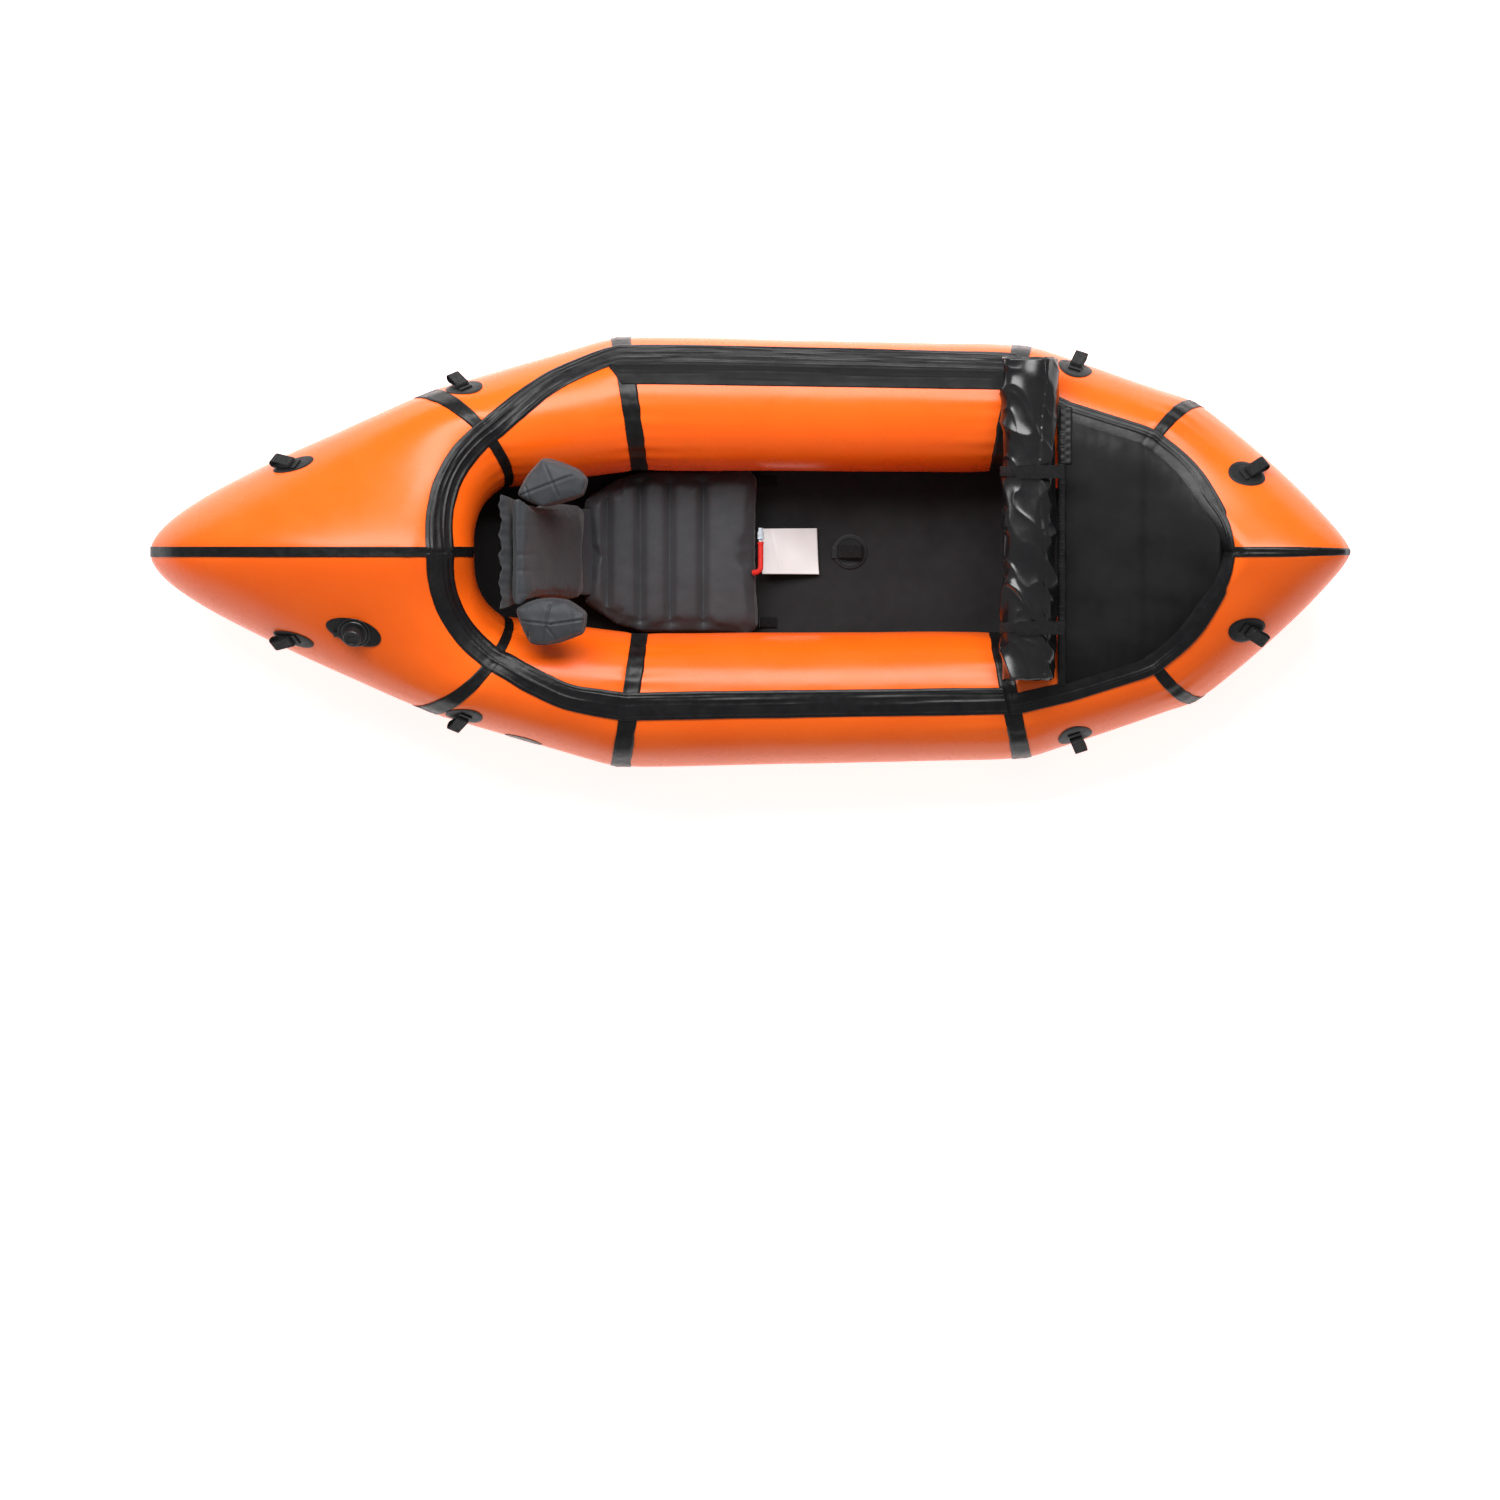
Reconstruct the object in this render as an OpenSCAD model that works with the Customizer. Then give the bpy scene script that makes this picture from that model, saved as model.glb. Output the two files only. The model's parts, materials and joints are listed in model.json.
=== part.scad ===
// Packraft: a single-seat inflatable kayak with a bow deck, a rolled spraydeck and a skeg.
// +X points to the bow, +Y to port, +Z up. The origin is under the middle of the boat, on the
// level of the skeg's tip. All lengths are millimetres.

/* [Hull] */
// Length over all
hull_length = 2350; // [2200:10:2500]
// Width over all
hull_width = 850; // [800:10:900]
// Diameter of the side tubes
tube_d = 266; // [250:2:280]
// Thickness of the coated fabric of the tubes
skin_t = 2; // [1:0.5:4]
// Height of the stern above the tube bottoms
stern_rise = 399; // [360:1:430]
// Height of the bow above the tube bottoms
bow_rise = 386; // [350:1:420]
// Depth of the skeg's tip below the tube bottoms
skeg_depth = 72; // [50:1:100]

/* [Trim] */
// Width of the seam tapes
tape_w = 20; // [12:1:30]
// Thickness of tapes, coaming, patches and webbing
trim_t = 1.5; // [1:0.25:2.5]
// Diameter of the lashing patches
patch_d = 68; // [50:1:80]
// Width of the webbing loops
webbing_w = 25; // [15:1:30]

/* [Cockpit] */
// Length of the seat cushion
seat_length = 336; // [280:1:350]
// Width of the seat cushion
seat_width = 324; // [280:1:330]
// Thickness of the seat cushion
seat_h = 78; // [60:1:84]
// Height of the top of the backrest above the floor
backrest_h = 382; // [340:1:400]
// Length of the rolled spraydeck
roll_length = 634; // [560:1:650]
// Width of the rolled spraydeck
roll_w = 108; // [80:1:120]
// Thickness of the rolled spraydeck
roll_h = 82; // [60:1:90]

/* [Hidden] */
orange = "#ff701e";
black = "#1a1a1c";
grey = "#3d3d40";
tube_r = tube_d / 2;
half_length = hull_length / 2;
side_y = hull_width / 2 - tube_r;   // the side tube's centre line at its widest
gap = 0.4;                          // room between pieces that only lie on each other
sides = 32;                         // points round a tube
end_steps = 12;                     // rows along the curved panels at the ends of the hull
tape_off = 1.3;                     // height of the seam tapes above the hull
cover_off = tape_off + trim_t + 1.2; // height of what crosses the tapes: coaming, band and deck

// ---- Hull surface --------------------------------------------------------------------------
// A ring is a closed section of the half hull, in an upright plane:
// [origin xy, direction of its outboard axis, lean, outer, top, inner, bottom, roundness].
// outer, top, inner and bottom are [distance along that axis, height] of its four extremes, the
// lean carries its top towards the bow, and the roundness is a superellipse power per quarter.
round_section = [2, 2, 2, 2];
rings = [
  [[0, 0], 180, 0, [half_length, 144], [700, stern_rise], [540, 235], [620, 20], [1.7, 2, 2, 2]],
  [[-556, 220], 131, 0.3, [121, 163], [0, 296], [-121, 163], [0, 28], round_section],
  [[-242, side_y], 98, 0, [tube_r, tube_r], [0, tube_d], [-tube_r, tube_r], [0, 0], round_section],
  [[516, 281], 79, 0, [127, 131], [0, 263], [-127, 131], [0, 0], round_section],
  [[812, 184], 59, -0.3, [126, 163], [0, 291], [-122, 160], [0, 24], round_section],
  [[0, 0], 0, 0, [half_length, 302], [990, bow_rise], [900, 225], [860, 30], [2.5, 2, 2, 2]]
];
// A panel runs from ring i to ring i + 1. The ones in between are straight. For the end panels,
// two numbers say how far each keeps the direction of its first and its last ring, as shares of
// its own length.
panel_bend = [[0.13, 0.50], [0, 0], [0, 0], [0, 0], [0.36, 0.08]];
last_ring = len(rings) - 1;

function power(v, p) = v <= 0 ? 0 : pow(v, p);
function quarter(a) = floor(a / 90) % 4;
function turn(a) = a - 360 * floor(a / 360);
// Point of a ring at angle a, from the outer extreme over the top, moved outwards by off
function section(r, a, off) =
  let (
    q = quarter(turn(a)),
    shape = 2 / r[7][q],
    c = power(abs(cos(a)), shape),
    s = power(abs(sin(a)), shape),
    mid = (q < 2) ? r[4][0] : r[6][0],
    side = (q == 0 || q == 3) ? r[3] : r[5],
    reach = (q == 0 || q == 3) ? side[0] + off - mid : side[0] - off - mid,
    rise = (q < 2) ? r[4][1] + off - side[1] : r[6][1] - off - side[1]
  )
  [mid + reach * c, side[1] + rise * s];
function ring_mid_z(r) = (r[4][1] + r[6][1]) / 2;
function along(r) = [sin(r[1]), -cos(r[1])];
function ring_point(r, a, off) =
  let (
    p = section(r, a, off),
    out = [cos(r[1]), sin(r[1])],
    lean = r[2] * (p[1] - ring_mid_z(r)),
    xy = r[0] + out * p[0] + along(r) * lean
  )
  [xy[0], xy[1], p[1]];
// The direction of an end panel: along the ring's own axis at the centre plane, and along the
// chord, or as stated, where it meets the straight panels
function heading(i, chord, end) =
  (i == 0 && end == 0) || (i == last_ring - 1 && end == 1)
    ? along(rings[i + end])
    : i == 0 ? [0.91, 0.41] : i == last_ring - 1 ? [0.8, -0.6] : chord;
function bezier(p, t) =
  p[0] * pow(1 - t, 3) + p[1] * 3 * t * pow(1 - t, 2) + p[2] * 3 * t * t * (1 - t) + p[3] * pow(t, 3);
// Point of the port half hull at station st (0 at the stern, last_ring at the bow), angle a
function hull_port(st, a, off = 0) =
  let (
    i = min(floor(st), last_ring - 1),
    t = st - i,
    from = ring_point(rings[i], a, off),
    to = ring_point(rings[i + 1], a, off),
    span = norm(to - from),
    flat_chord = [to[0] - from[0], to[1] - from[1]],
    chord = flat_chord / max(norm(flat_chord), 0.001),
    h0 = heading(i, chord, 0) * span * panel_bend[i][0],
    h1 = heading(i, chord, 1) * span * panel_bend[i][1],
    a0 = [from[0] + h0[0], from[1] + h0[1], from[2]],
    a1 = [to[0] - h1[0], to[1] - h1[1], to[2]],
    is_end = i == 0 || i == last_ring - 1
  )
  is_end ? bezier([from, a0, a1, to], t) : from + (to - from) * t;
function hull_at(side, st, a, off = 0) =
  let (p = hull_port(st, a, off)) [p[0], side * p[1], p[2]];
// Outward normal there
function hull_normal(side, st, a) =
  let (
    p = hull_at(side, st, a),
    da = hull_at(side, st, a + 1) - p,
    ds = hull_at(side, st + 0.01, a) - p,
    n = cross(ds, da) * -side
  )
  n / norm(n);

// Faces of a closed block of points: rows of a grid on the near side, then the far side
function quad(flip, a, b, c, d) = flip ? [[a, c, b], [a, d, c]] : [[a, b, c], [a, c, d]];
// A sheet between two grids of rows x columns, both lists of points row by row
module thick_sheet(inner, outer, rows, cols, flip) {
  count = rows * cols;
  at = function (r, c, layer) layer * count + r * cols + c;
  cells = [for (r = [0 : rows - 2], c = [0 : cols - 2]) [r, c]];
  faces = concat(
    [for (k = cells) each quad(flip, at(k[0], k[1], 0), at(k[0], k[1] + 1, 0),
      at(k[0] + 1, k[1] + 1, 0), at(k[0] + 1, k[1], 0))],
    [for (k = cells) each quad(!flip, at(k[0], k[1], 1), at(k[0], k[1] + 1, 1),
      at(k[0] + 1, k[1] + 1, 1), at(k[0] + 1, k[1], 1))],
    [for (c = [0 : cols - 2]) each quad(flip, at(0, c, 1), at(0, c + 1, 1), at(0, c + 1, 0), at(0, c, 0))],
    [for (c = [0 : cols - 2], r = [rows - 1])
      each quad(!flip, at(r, c, 1), at(r, c + 1, 1), at(r, c + 1, 0), at(r, c, 0))],
    [for (r = [0 : rows - 2]) each quad(!flip, at(r, 0, 1), at(r + 1, 0, 1), at(r + 1, 0, 0), at(r, 0, 0))],
    [for (r = [0 : rows - 2], c = [cols - 1])
      each quad(flip, at(r, c, 1), at(r + 1, c, 1), at(r + 1, c, 0), at(r, c, 0))]
  );
  polyhedron(points = concat(inner, outer), faces = faces);
}
// A tube of fabric between two stations, open at both ends
module hull_panel(side, st0, st1, steps) {
  rows = steps + 1;
  at = function (r, c, layer) layer * rows * sides + r * sides + (c % sides);
  grid = [for (layer = [0, 1], r = [0 : steps], c = [0 : sides - 1])
    hull_at(side, st0 + (st1 - st0) * r / steps, c * 360 / sides, layer ? 0 : -skin_t)];
  cells = [for (r = [0 : steps - 1], c = [0 : sides - 1]) [r, c]];
  flip = side < 0;
  faces = concat(
    [for (k = cells) each quad(flip, at(k[0], k[1], 0), at(k[0], k[1] + 1, 0),
      at(k[0] + 1, k[1] + 1, 0), at(k[0] + 1, k[1], 0))],
    [for (k = cells) each quad(!flip, at(k[0], k[1], 1), at(k[0], k[1] + 1, 1),
      at(k[0] + 1, k[1] + 1, 1), at(k[0] + 1, k[1], 1))],
    [for (c = [0 : sides - 1]) each quad(flip, at(0, c, 1), at(0, c + 1, 1), at(0, c + 1, 0), at(0, c, 0))],
    [for (c = [0 : sides - 1])
      each quad(!flip, at(steps, c, 1), at(steps, c + 1, 1), at(steps, c + 1, 0), at(steps, c, 0))]
  );
  color(orange) polyhedron(points = grid, faces = faces);
}
// A strip lying on the hull and over its tapes: for each station, the angles of its two edges
module hull_band(side, stations, low, high, cols, t = trim_t) {
  rows = len(stations);
  layer = function (off) [for (r = [0 : rows - 1], c = [0 : cols - 1])
    hull_at(side, stations[r], low[r] + (high[r] - low[r]) * c / (cols - 1), off)];
  thick_sheet(layer(cover_off), layer(cover_off + t), rows, cols, side < 0);
}
function steps_between(a, b, n) = [for (k = [0 : n]) a + (b - a) * k / n];
function same(v, n) = [for (k = [0 : n]) v];

// ---- Pieces laid on the hull ---------------------------------------------------------------
// Puts its children on the hull: local z is the outward normal, local x runs down and outboard
module on_hull(side, st, a, off = 0) {
  p = hull_at(side, st, a, off);
  n = hull_normal(side, st, a);
  down = hull_at(side, st, a - 1, off) - p;
  x0 = down - n * (n * down);
  x = x0 / norm(x0);
  y = cross(n, x);
  multmatrix([[x[0], y[0], n[0], p[0]], [x[1], y[1], n[1], p[1]], [x[2], y[2], n[2], p[2]], [0, 0, 0, 1]])
    children();
}
// A round or oval patch that follows the hull: rx along the tube, ry round it
module hull_disc(side, st, a, rx, ry, t = trim_t) {
  along_step = norm(hull_port(st + 0.01, a) - hull_port(st - 0.01, a)) / 0.02;
  round_step = norm(hull_port(st, a + 1) - hull_port(st, a - 1)) / 2;
  spokes = 20;
  layer = function (off) concat([hull_at(side, st, a, off)], [for (k = [0.5, 1], i = [0 : spokes - 1])
    hull_at(side, st + k * rx * cos(i * 360 / spokes) / along_step,
      a + k * ry * sin(i * 360 / spokes) / round_step, off)]);
  count = 2 * spokes + 1;
  flip = side < 0;
  mid = function (i, l) l * count + 1 + i % spokes;
  rim = function (i, l) l * count + 1 + spokes + i % spokes;
  faces = concat(
    [for (i = [0 : spokes - 1], l = [0, 1]) flip != (l == 1)
      ? [l * count, mid(i, l), mid(i + 1, l)] : [l * count, mid(i + 1, l), mid(i, l)]],
    [for (i = [0 : spokes - 1], l = [0, 1])
      each quad(flip != (l == 1), mid(i, l), mid(i + 1, l), rim(i + 1, l), rim(i, l))],
    [for (i = [0 : spokes - 1]) each quad(flip, rim(i, 0), rim(i + 1, 0), rim(i + 1, 1), rim(i, 1))]
  );
  polyhedron(points = concat(layer(gap), layer(gap + t)), faces = faces);
}
// Seam tape round the hull at a ring, open at the bottom where the floor sheet covers it
tape_low = -72;
tape_high = 254;
tape_steps = 28;
panel_length = 300;                 // about, beside the rings between the end panels
module seam_tape(side, ring) {
  half = tape_w / 2 / panel_length;
  angles = steps_between(tape_low, tape_high, tape_steps);
  grid = function (off) [for (a = angles, k = [-1, 0, 1]) hull_at(side, ring + k * half, a, off)];
  color(black) thick_sheet(grid(tape_off), grid(tape_off + trim_t), tape_steps + 1, 3, side > 0);
}
// Seam tape on the centre plane at an end of the hull, from angle low to angle high
module centre_tape(ring, low, high, steps) {
  r = rings[ring];
  toward_bow = ring == 0 ? 1 : -1;
  grid = function (off) [for (k = [0 : steps], y = [-1, 0, 1])
    let (p = ring_point(r, low + (high - low) * k / steps, off))
    [p[0], y * toward_bow * tape_w / 2, p[2] - abs(y)]];
  color(black) thick_sheet(grid(gap + 1), grid(gap + 1 + trim_t), steps + 1, 3, true);
}

// ---- Floor ---------------------------------------------------------------------------------
floor_t = 2;
bottom = 270;
// Rows of the sheet from stern to bow: [-1, angle] follows the underside of the stern, [0, station]
// runs straight from tube to tube, and [1, angle] follows the underside of the bow
floor_rows = [
  [-1, 298], [-1, 289], [-1, 280], [-1, 271], [-1, 262],
  [0, 1.5], [0, 2], [0, 3], [0, 3.5],
  [1, 262], [1, 271], [1, 281], [1, 290]
];
floor_across = steps_between(-1, 1, 2 * end_steps);
stern_gap = 1.3;                    // room between the sheet and the underside of the stern
bow_gap = 2;                        // and of the bow
function floor_point(row, k, drop) =
  let (
    side = k < 0 ? -1 : 1,
    edge = hull_port(row[1], bottom),
    st = row[0] < 0 ? abs(k) : last_ring - abs(k),
    a = row[1] + (bottom - row[1]) * abs(k) / 2
  )
  row[0] == 0
    ? [edge[0], k * edge[1], edge[2] - drop]
    : hull_at(side, st, a, row[0] < 0 ? max(drop, stern_gap) : drop + bow_gap);
module floor_sheet() {
  grid = function (drop) [for (row = floor_rows, k = floor_across) floor_point(row, k, drop)];
  color(black) thick_sheet(grid(floor_t), grid(0), len(floor_rows), len(floor_across), true);
}
module floor_patch() {
  color(black) translate([floor_loop_x, 0, 0]) cylinder(h = trim_t, d = patch_d, $fn = 64);
}

// ---- Coaming and bow deck ------------------------------------------------------------------
coaming_w = 24;                     // degrees round the tube that the strip covers
// Stations and middle angles of the coaming on each side, from the stern forward
port_path = [[0, 127], [0.25, 124], [0.5, 118], [0.75, 109], [1, 98], [1.3, 76], [1.6, 54],
  [1.9, 42], [2.2, 40], [2.6, 41], [2.95, 42]];
starboard_path = [[0, 127], [0.25, 125], [0.5, 122], [0.75, 118], [1, 112], [1.3, 96],
  [1.6, 84], [1.9, 84], [2.2, 85], [2.95, 85]];
coaming_stern = 0.075;              // it starts beside the centre tape
coaming_bow = 2.95;
coaming_stations = concat([coaming_stern], [for (k = [1 : 3 * end_steps - 1]) k / end_steps], [coaming_bow]);
module coaming(side, path) {
  low = [for (st = coaming_stations) lookup(st, path) - coaming_w / 2];
  high = [for (st = coaming_stations) lookup(st, path) + coaming_w / 2];
  color(black) hull_band(side, coaming_stations, low, high, 4);
}
module spraydeck_band() {
  stations = [2, 2.3, 2.6, coaming_bow];
  color(black) hull_band(1, stations, same(56, 3), same(74, 3), 4);
}
// Station and angle of the outer edge of the deck's border, from its hem to the bow
deck_path = [[3.38, 70], [3.9, 71], [4.05, 73], [4.16, 73], [4.27, 76], [4.42, 84], [4.57, 90],
  [4.8, 109], [4.97, 118]];
deck_aft = 3.38;
deck_stations = [deck_aft, 3.6, 3.8, 4, 4.083, 4.167, 4.25, 4.333, 4.417, 4.5, 4.583, 4.667, 4.75, 4.833];
border_w = 17;                      // degrees
module deck_border() {
  low = [for (st = deck_stations) lookup(st, deck_path)];
  high = [for (a = low) a + border_w];
  color(black) {
    hull_band(1, deck_stations, low, high, 4);
    hull_band(-1, deck_stations, low, high, 4);
  }
}
crown = 11;                         // height of the deck's middle above its edges
function deck_point(st, k, lift) =
  let (p = hull_port(st, lookup(st, deck_path) + border_w + 1, cover_off))
  [p[0], k * p[1], p[2] + lift + crown * (1 - pow(k, 4))];
module bow_deck() {
  across = [-1, -0.8, -0.4, 0, 0.4, 0.8, 1];
  grid = function (lift) [for (st = deck_stations, k = across) deck_point(st, k, lift)];
  color(black) thick_sheet(grid(0), grid(trim_t), len(deck_stations), len(across), true);
}
module deck_hem() {
  edge = deck_point(deck_aft, 1, 0);
  hem_w = 16;
  hem_t = 4;
  color(black) translate([edge[0] - hem_w - gap, -edge[1], edge[2]]) cube([hem_w, 2 * edge[1], hem_t]);
}

// ---- Rolled spraydeck ----------------------------------------------------------------------
roll_x = 546;
roll_y0 = -252;
roll_z = tube_d + 3 + roll_h / 2;
strap_y = [157, -149];
module roll_outline(grow) {
  r = roll_h / 2 + grow;
  hull() for (s = [-1, 1]) translate([s * (roll_w - roll_h) / 2, 0]) circle(r, $fn = 32);
}
module roll_at(y0, length) {
  translate([roll_x, y0 + length, roll_z]) rotate([90, 0, 0]) linear_extrude(length) children();
}
module spraydeck_roll() {
  color(black) roll_at(roll_y0, roll_length) roll_outline(0);
}
module roll_strap(k) {
  w = 20;
  color(black) roll_at(strap_y[k] - w / 2, w) difference() {
    roll_outline(gap + 2);
    roll_outline(gap);
  }
}
tab_l = 84;
tab_t = 2.5;
tab_z = roll_z + roll_h / 2 + gap + 3;
tab_x = roll_x + roll_w / 2 + 14;
module roll_tab(k) {
  w = 26;
  color(black) translate([tab_x - tab_l, strap_y[k], tab_z]) linear_extrude(tab_t) union() {
    translate([0, -w / 2]) square([tab_l, w]);
    circle(d = w, $fn = 48);
  }
}

// ---- Seat ----------------------------------------------------------------------------------
seat_x0 = -322;
seat_lift = 7.5;                    // the floor rises a little under its rear edge
module seat_cushion() {
  r = 26;
  soft = 12;
  corner = 44;
  half = seat_width / 2;
  plan = [[seat_x0, -half + corner], [seat_x0 + corner, -half], [seat_x0 + seat_length, -half],
    [seat_x0 + seat_length, half], [seat_x0 + corner, half], [seat_x0, half - corner]];
  centre_x = seat_x0 + seat_length / 2;
  color(grey) hull() for (p = plan)
    translate([p[0] + sign(centre_x - p[0]) * r, p[1] - sign(p[1]) * r, seat_lift]) {
      translate([0, 0, soft]) cylinder(h = seat_h - 2 * soft, r = r, $fn = 32);
      cylinder(h = seat_h, r = r - soft, $fn = 32);
    }
}
tie_x = seat_x0 + seat_length + 3;
module seat_ties() {
  color(black) for (s = [-1, 1]) translate([tie_x, s * 138 - 10, 0.2]) {
    cube([2, 20, 46]);
    cube([34, 20, 2]);
  }
}
back_x = seat_x0 - 4;               // pivot at the lower front edge of the backrest
back_lean = 12;                     // degrees that it leans to the stern
back_t = 92;
back_foot = seat_lift + seat_h + 7;
wing_reach = 60;                    // how far the wings stand forward of the panel
wing_h = 84;
module back_at() {
  translate([back_x, 0, back_foot]) rotate([0, -back_lean, 0]) children();
}
back_len = (backrest_h - back_foot) / cos(back_lean);
module backrest_panel() {
  r = 30;
  low_half = 92;
  high_half = 112;
  color(grey) back_at() hull() for (x = [-back_t + r, -r], y = [-1, 1]) {
    translate([x, y * (low_half - r), r]) sphere(r, $fn = 24);
    translate([x, y * (high_half - r), back_len - r]) sphere(r, $fn = 24);
  }
}
module backrest_wing(side) {
  r = 30;
  color(grey) mirror([0, side > 0 ? 1 : 0, 0]) back_at() hull()
    for (x = [-back_t + r, wing_reach - r], z = [back_len - wing_h + r, back_len - r], y = [-190 + r, -114 - r])
      translate([x, y, z]) sphere(r, $fn = 24);
}
module backrest_flange() {
  shoulder = back_len - 60;
  color(grey) back_at() translate([-back_t - 3 - 4 - gap, 0, 0]) rotate([90, 0, 90]) linear_extrude(3)
    polygon([[-88, 24], [-104, shoulder], [-104, back_len], [104, back_len], [104, shoulder], [88, 24]]);
}
module backrest_hinge() {
  color(grey) translate([back_x, -84, seat_lift + seat_h + gap]) cube([40, 168, trim_t]);
}

// ---- Oral valve and tag --------------------------------------------------------------------
oral_r = 6;
oral_x = seat_x0 + seat_length + 1 + oral_r;
oral_z = seat_lift + seat_h + 2;
oral_end = 20;
oral_bore_r = 4;
oral_elbow = -33;
module oral_valve_stem() {
  reach = oral_end - oral_elbow;
  color("#c8281e") translate([oral_x, oral_end, oral_z]) rotate([90, 0, 0]) difference() {
    union() {
      cylinder(h = reach, r = oral_r, $fn = 48);
      translate([0, 0, reach]) sphere(oral_r, $fn = 48);
    }
    translate([0, 0, -1]) cylinder(h = 18, r = oral_bore_r, $fn = 48);
  }
}
oral_push = 4;                      // travel that opens the valve
module oral_valve_cap() {
  cap_l = 22;
  color("#e8e8e4") translate([oral_x, oral_end + oral_push + 1 + cap_l, oral_z]) rotate([90, 0, 0]) {
    cylinder(h = cap_l + 12, r = oral_bore_r - 0.05, $fn = 48);
    cylinder(h = cap_l, r = oral_r + 0.5, $fn = 48);
  }
}
tag_l = 112;
tag_w = 90;
module paper_tag() {
  color("white") translate([seat_x0 + seat_length + 10, -44, 34]) rotate([0, 14, 0])
    cube([tag_l, tag_w, 0.8]);
}

// ---- Lashing points ------------------------------------------------------------------------
// Side, hull station and angle of each lashing patch, stern to bow, port first
lash_points = [
  [1, 0.595, 32], [-1, 0.595, 32], [1, 1.13, 34], [-1, 1.13, 34],
  [1, 3.313, 27], [-1, 3.313, 27], [1, 4.378, 50], [-1, 4.378, 50]
];
loop_out = 46;
module loop_profile(r0, r1) {
  hull() {
    translate([4, 4.6]) circle(r0, $fn = 32);
    translate([loop_out - 8, 9]) circle(r1, $fn = 32);
  }
}
loop_wall = 2;
// A teardrop of webbing that lies outboard of its pivot at the local origin
module webbing_loop() {
  color(black) rotate([90, 0, 0]) linear_extrude(webbing_w, center = true) difference() {
    loop_profile(3.4, 8);
    loop_profile(3.4 - loop_wall, 8 - loop_wall);
  }
}
module lashing_patches() {
  for (p = lash_points) {
    color(black) hull_disc(p[0], p[1], p[2], patch_d / 2, patch_d / 2);
    color(black) on_hull(p[0], p[1], p[2], gap + trim_t) translate([-10, -webbing_w / 2, 0.1])
      cube([8, webbing_w, 3]);
  }
}
module lash_loop(k) {
  p = lash_points[k];
  on_hull(p[0], p[1], p[2], gap + trim_t) webbing_loop();
}
floor_loop_x = 196;
module floor_loop() {
  translate([floor_loop_x - loop_out / 2, 0, trim_t + gap]) webbing_loop();
}
module badge() {
  color("#26262a") hull_disc(-1, 1.5, 12, 38, 21, 1);
}

// ---- Main valve ----------------------------------------------------------------------------
valve_place = [-1, 0.583, 62.4];
module at_valve(h) {
  on_hull(valve_place[0], valve_place[1], valve_place[2], gap + trim_t) translate([0, 0, h]) children();
}
module valve_patch() {
  color(black) hull_disc(valve_place[0], valve_place[1], valve_place[2], 45, 45);
}
valve_r = 27;
valve_neck_r = 14;
module valve_body() {
  color(black) at_valve(0.2) difference() {
    union() {
      cylinder(h = 5, r = valve_r, $fn = 64);
      cylinder(h = 15, r = valve_neck_r, $fn = 64);
    }
    translate([0, 0, 4]) cylinder(h = 12, r = valve_neck_r - 3, $fn = 64);
  }
}
module valve_cap() {
  ribs = 24;
  cap_r = 18;
  color(black) at_valve(5.6) difference() {
    union() {
      cylinder(h = 20, r = cap_r, $fn = 64);
      for (i = [0 : ribs - 1]) rotate(i * 360 / ribs) translate([cap_r - 0.3, -1, 0]) cube([1.6, 2, 18]);
    }
    translate([0, 0, -1]) cylinder(h = 11.5, r = valve_neck_r + 0.3, $fn = 64);
  }
}
module valve_leash() {
  color(black) at_valve(0.4) difference() {
    union() {
      cylinder(h = 2, r = valve_r + 5, $fn = 64);
      translate([0, -5, 0]) cube([valve_r + 16, 10, 2]);
    }
    translate([0, 0, -1]) cylinder(h = 4, r = valve_r + 0.4, $fn = 64);
  }
}

// ---- Skeg ----------------------------------------------------------------------------------
skeg_aft = -896;
skeg_fore = -758;
skeg_t = 5;
rail_h = 9;
rail_w = 6;
rail_l = 150;
lip = 3;
foot_w = 16;
slack = 0.4;
base_x = -760;                      // where the base plate touches the underside of the stern
base_z = 21.4;
base_tilt = 3.3;
base_t = 3;
base_l = 300;
// Local frame of the skeg's rails: x along them, z = 0 on the underside of the base plate
module at_base() {
  translate([base_x, 0, base_z - base_t]) rotate([0, base_tilt, 0]) children();
}
module skeg_base() {
  aft = -140;
  rail_y = foot_w / 2 + slack;
  lip_y = skeg_t / 2 + slack;
  color(black) at_base() union() {
    translate([aft, -34, 0]) cube([base_l, 68, base_t]);
    for (s = [0, 1]) mirror([0, s, 0]) {
      translate([aft, rail_y, -rail_h]) cube([rail_l, rail_w, rail_h]);
      translate([aft, lip_y, -rail_h]) cube([rail_l, rail_y + rail_w - lip_y, lip]);
    }
  }
}
module skeg_fin() {
  low = -skeg_depth;
  high = base_z - base_t - 4;
  rise = (skeg_fore - skeg_aft) * sin(base_tilt);
  color(black) {
    at_base() translate([skeg_aft - base_x + 2, -foot_w / 2, -rail_h + lip + slack])
      cube([skeg_fore - skeg_aft - 6, foot_w, rail_h - lip - 2 * slack]);
    translate([0, skeg_t / 2, 0]) rotate([90, 0, 0]) linear_extrude(skeg_t)
      polygon([[skeg_aft + 4, high + rise], [skeg_fore - 6, high], [skeg_fore - 30, low + 16],
        [skeg_fore - 44, low], [skeg_aft + 14, low], [skeg_aft, low + 18]]);
  }
}

// ---- Whole boat ----------------------------------------------------------------------------
module lifted() {
  translate([0, 0, skeg_depth]) children();
}

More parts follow.
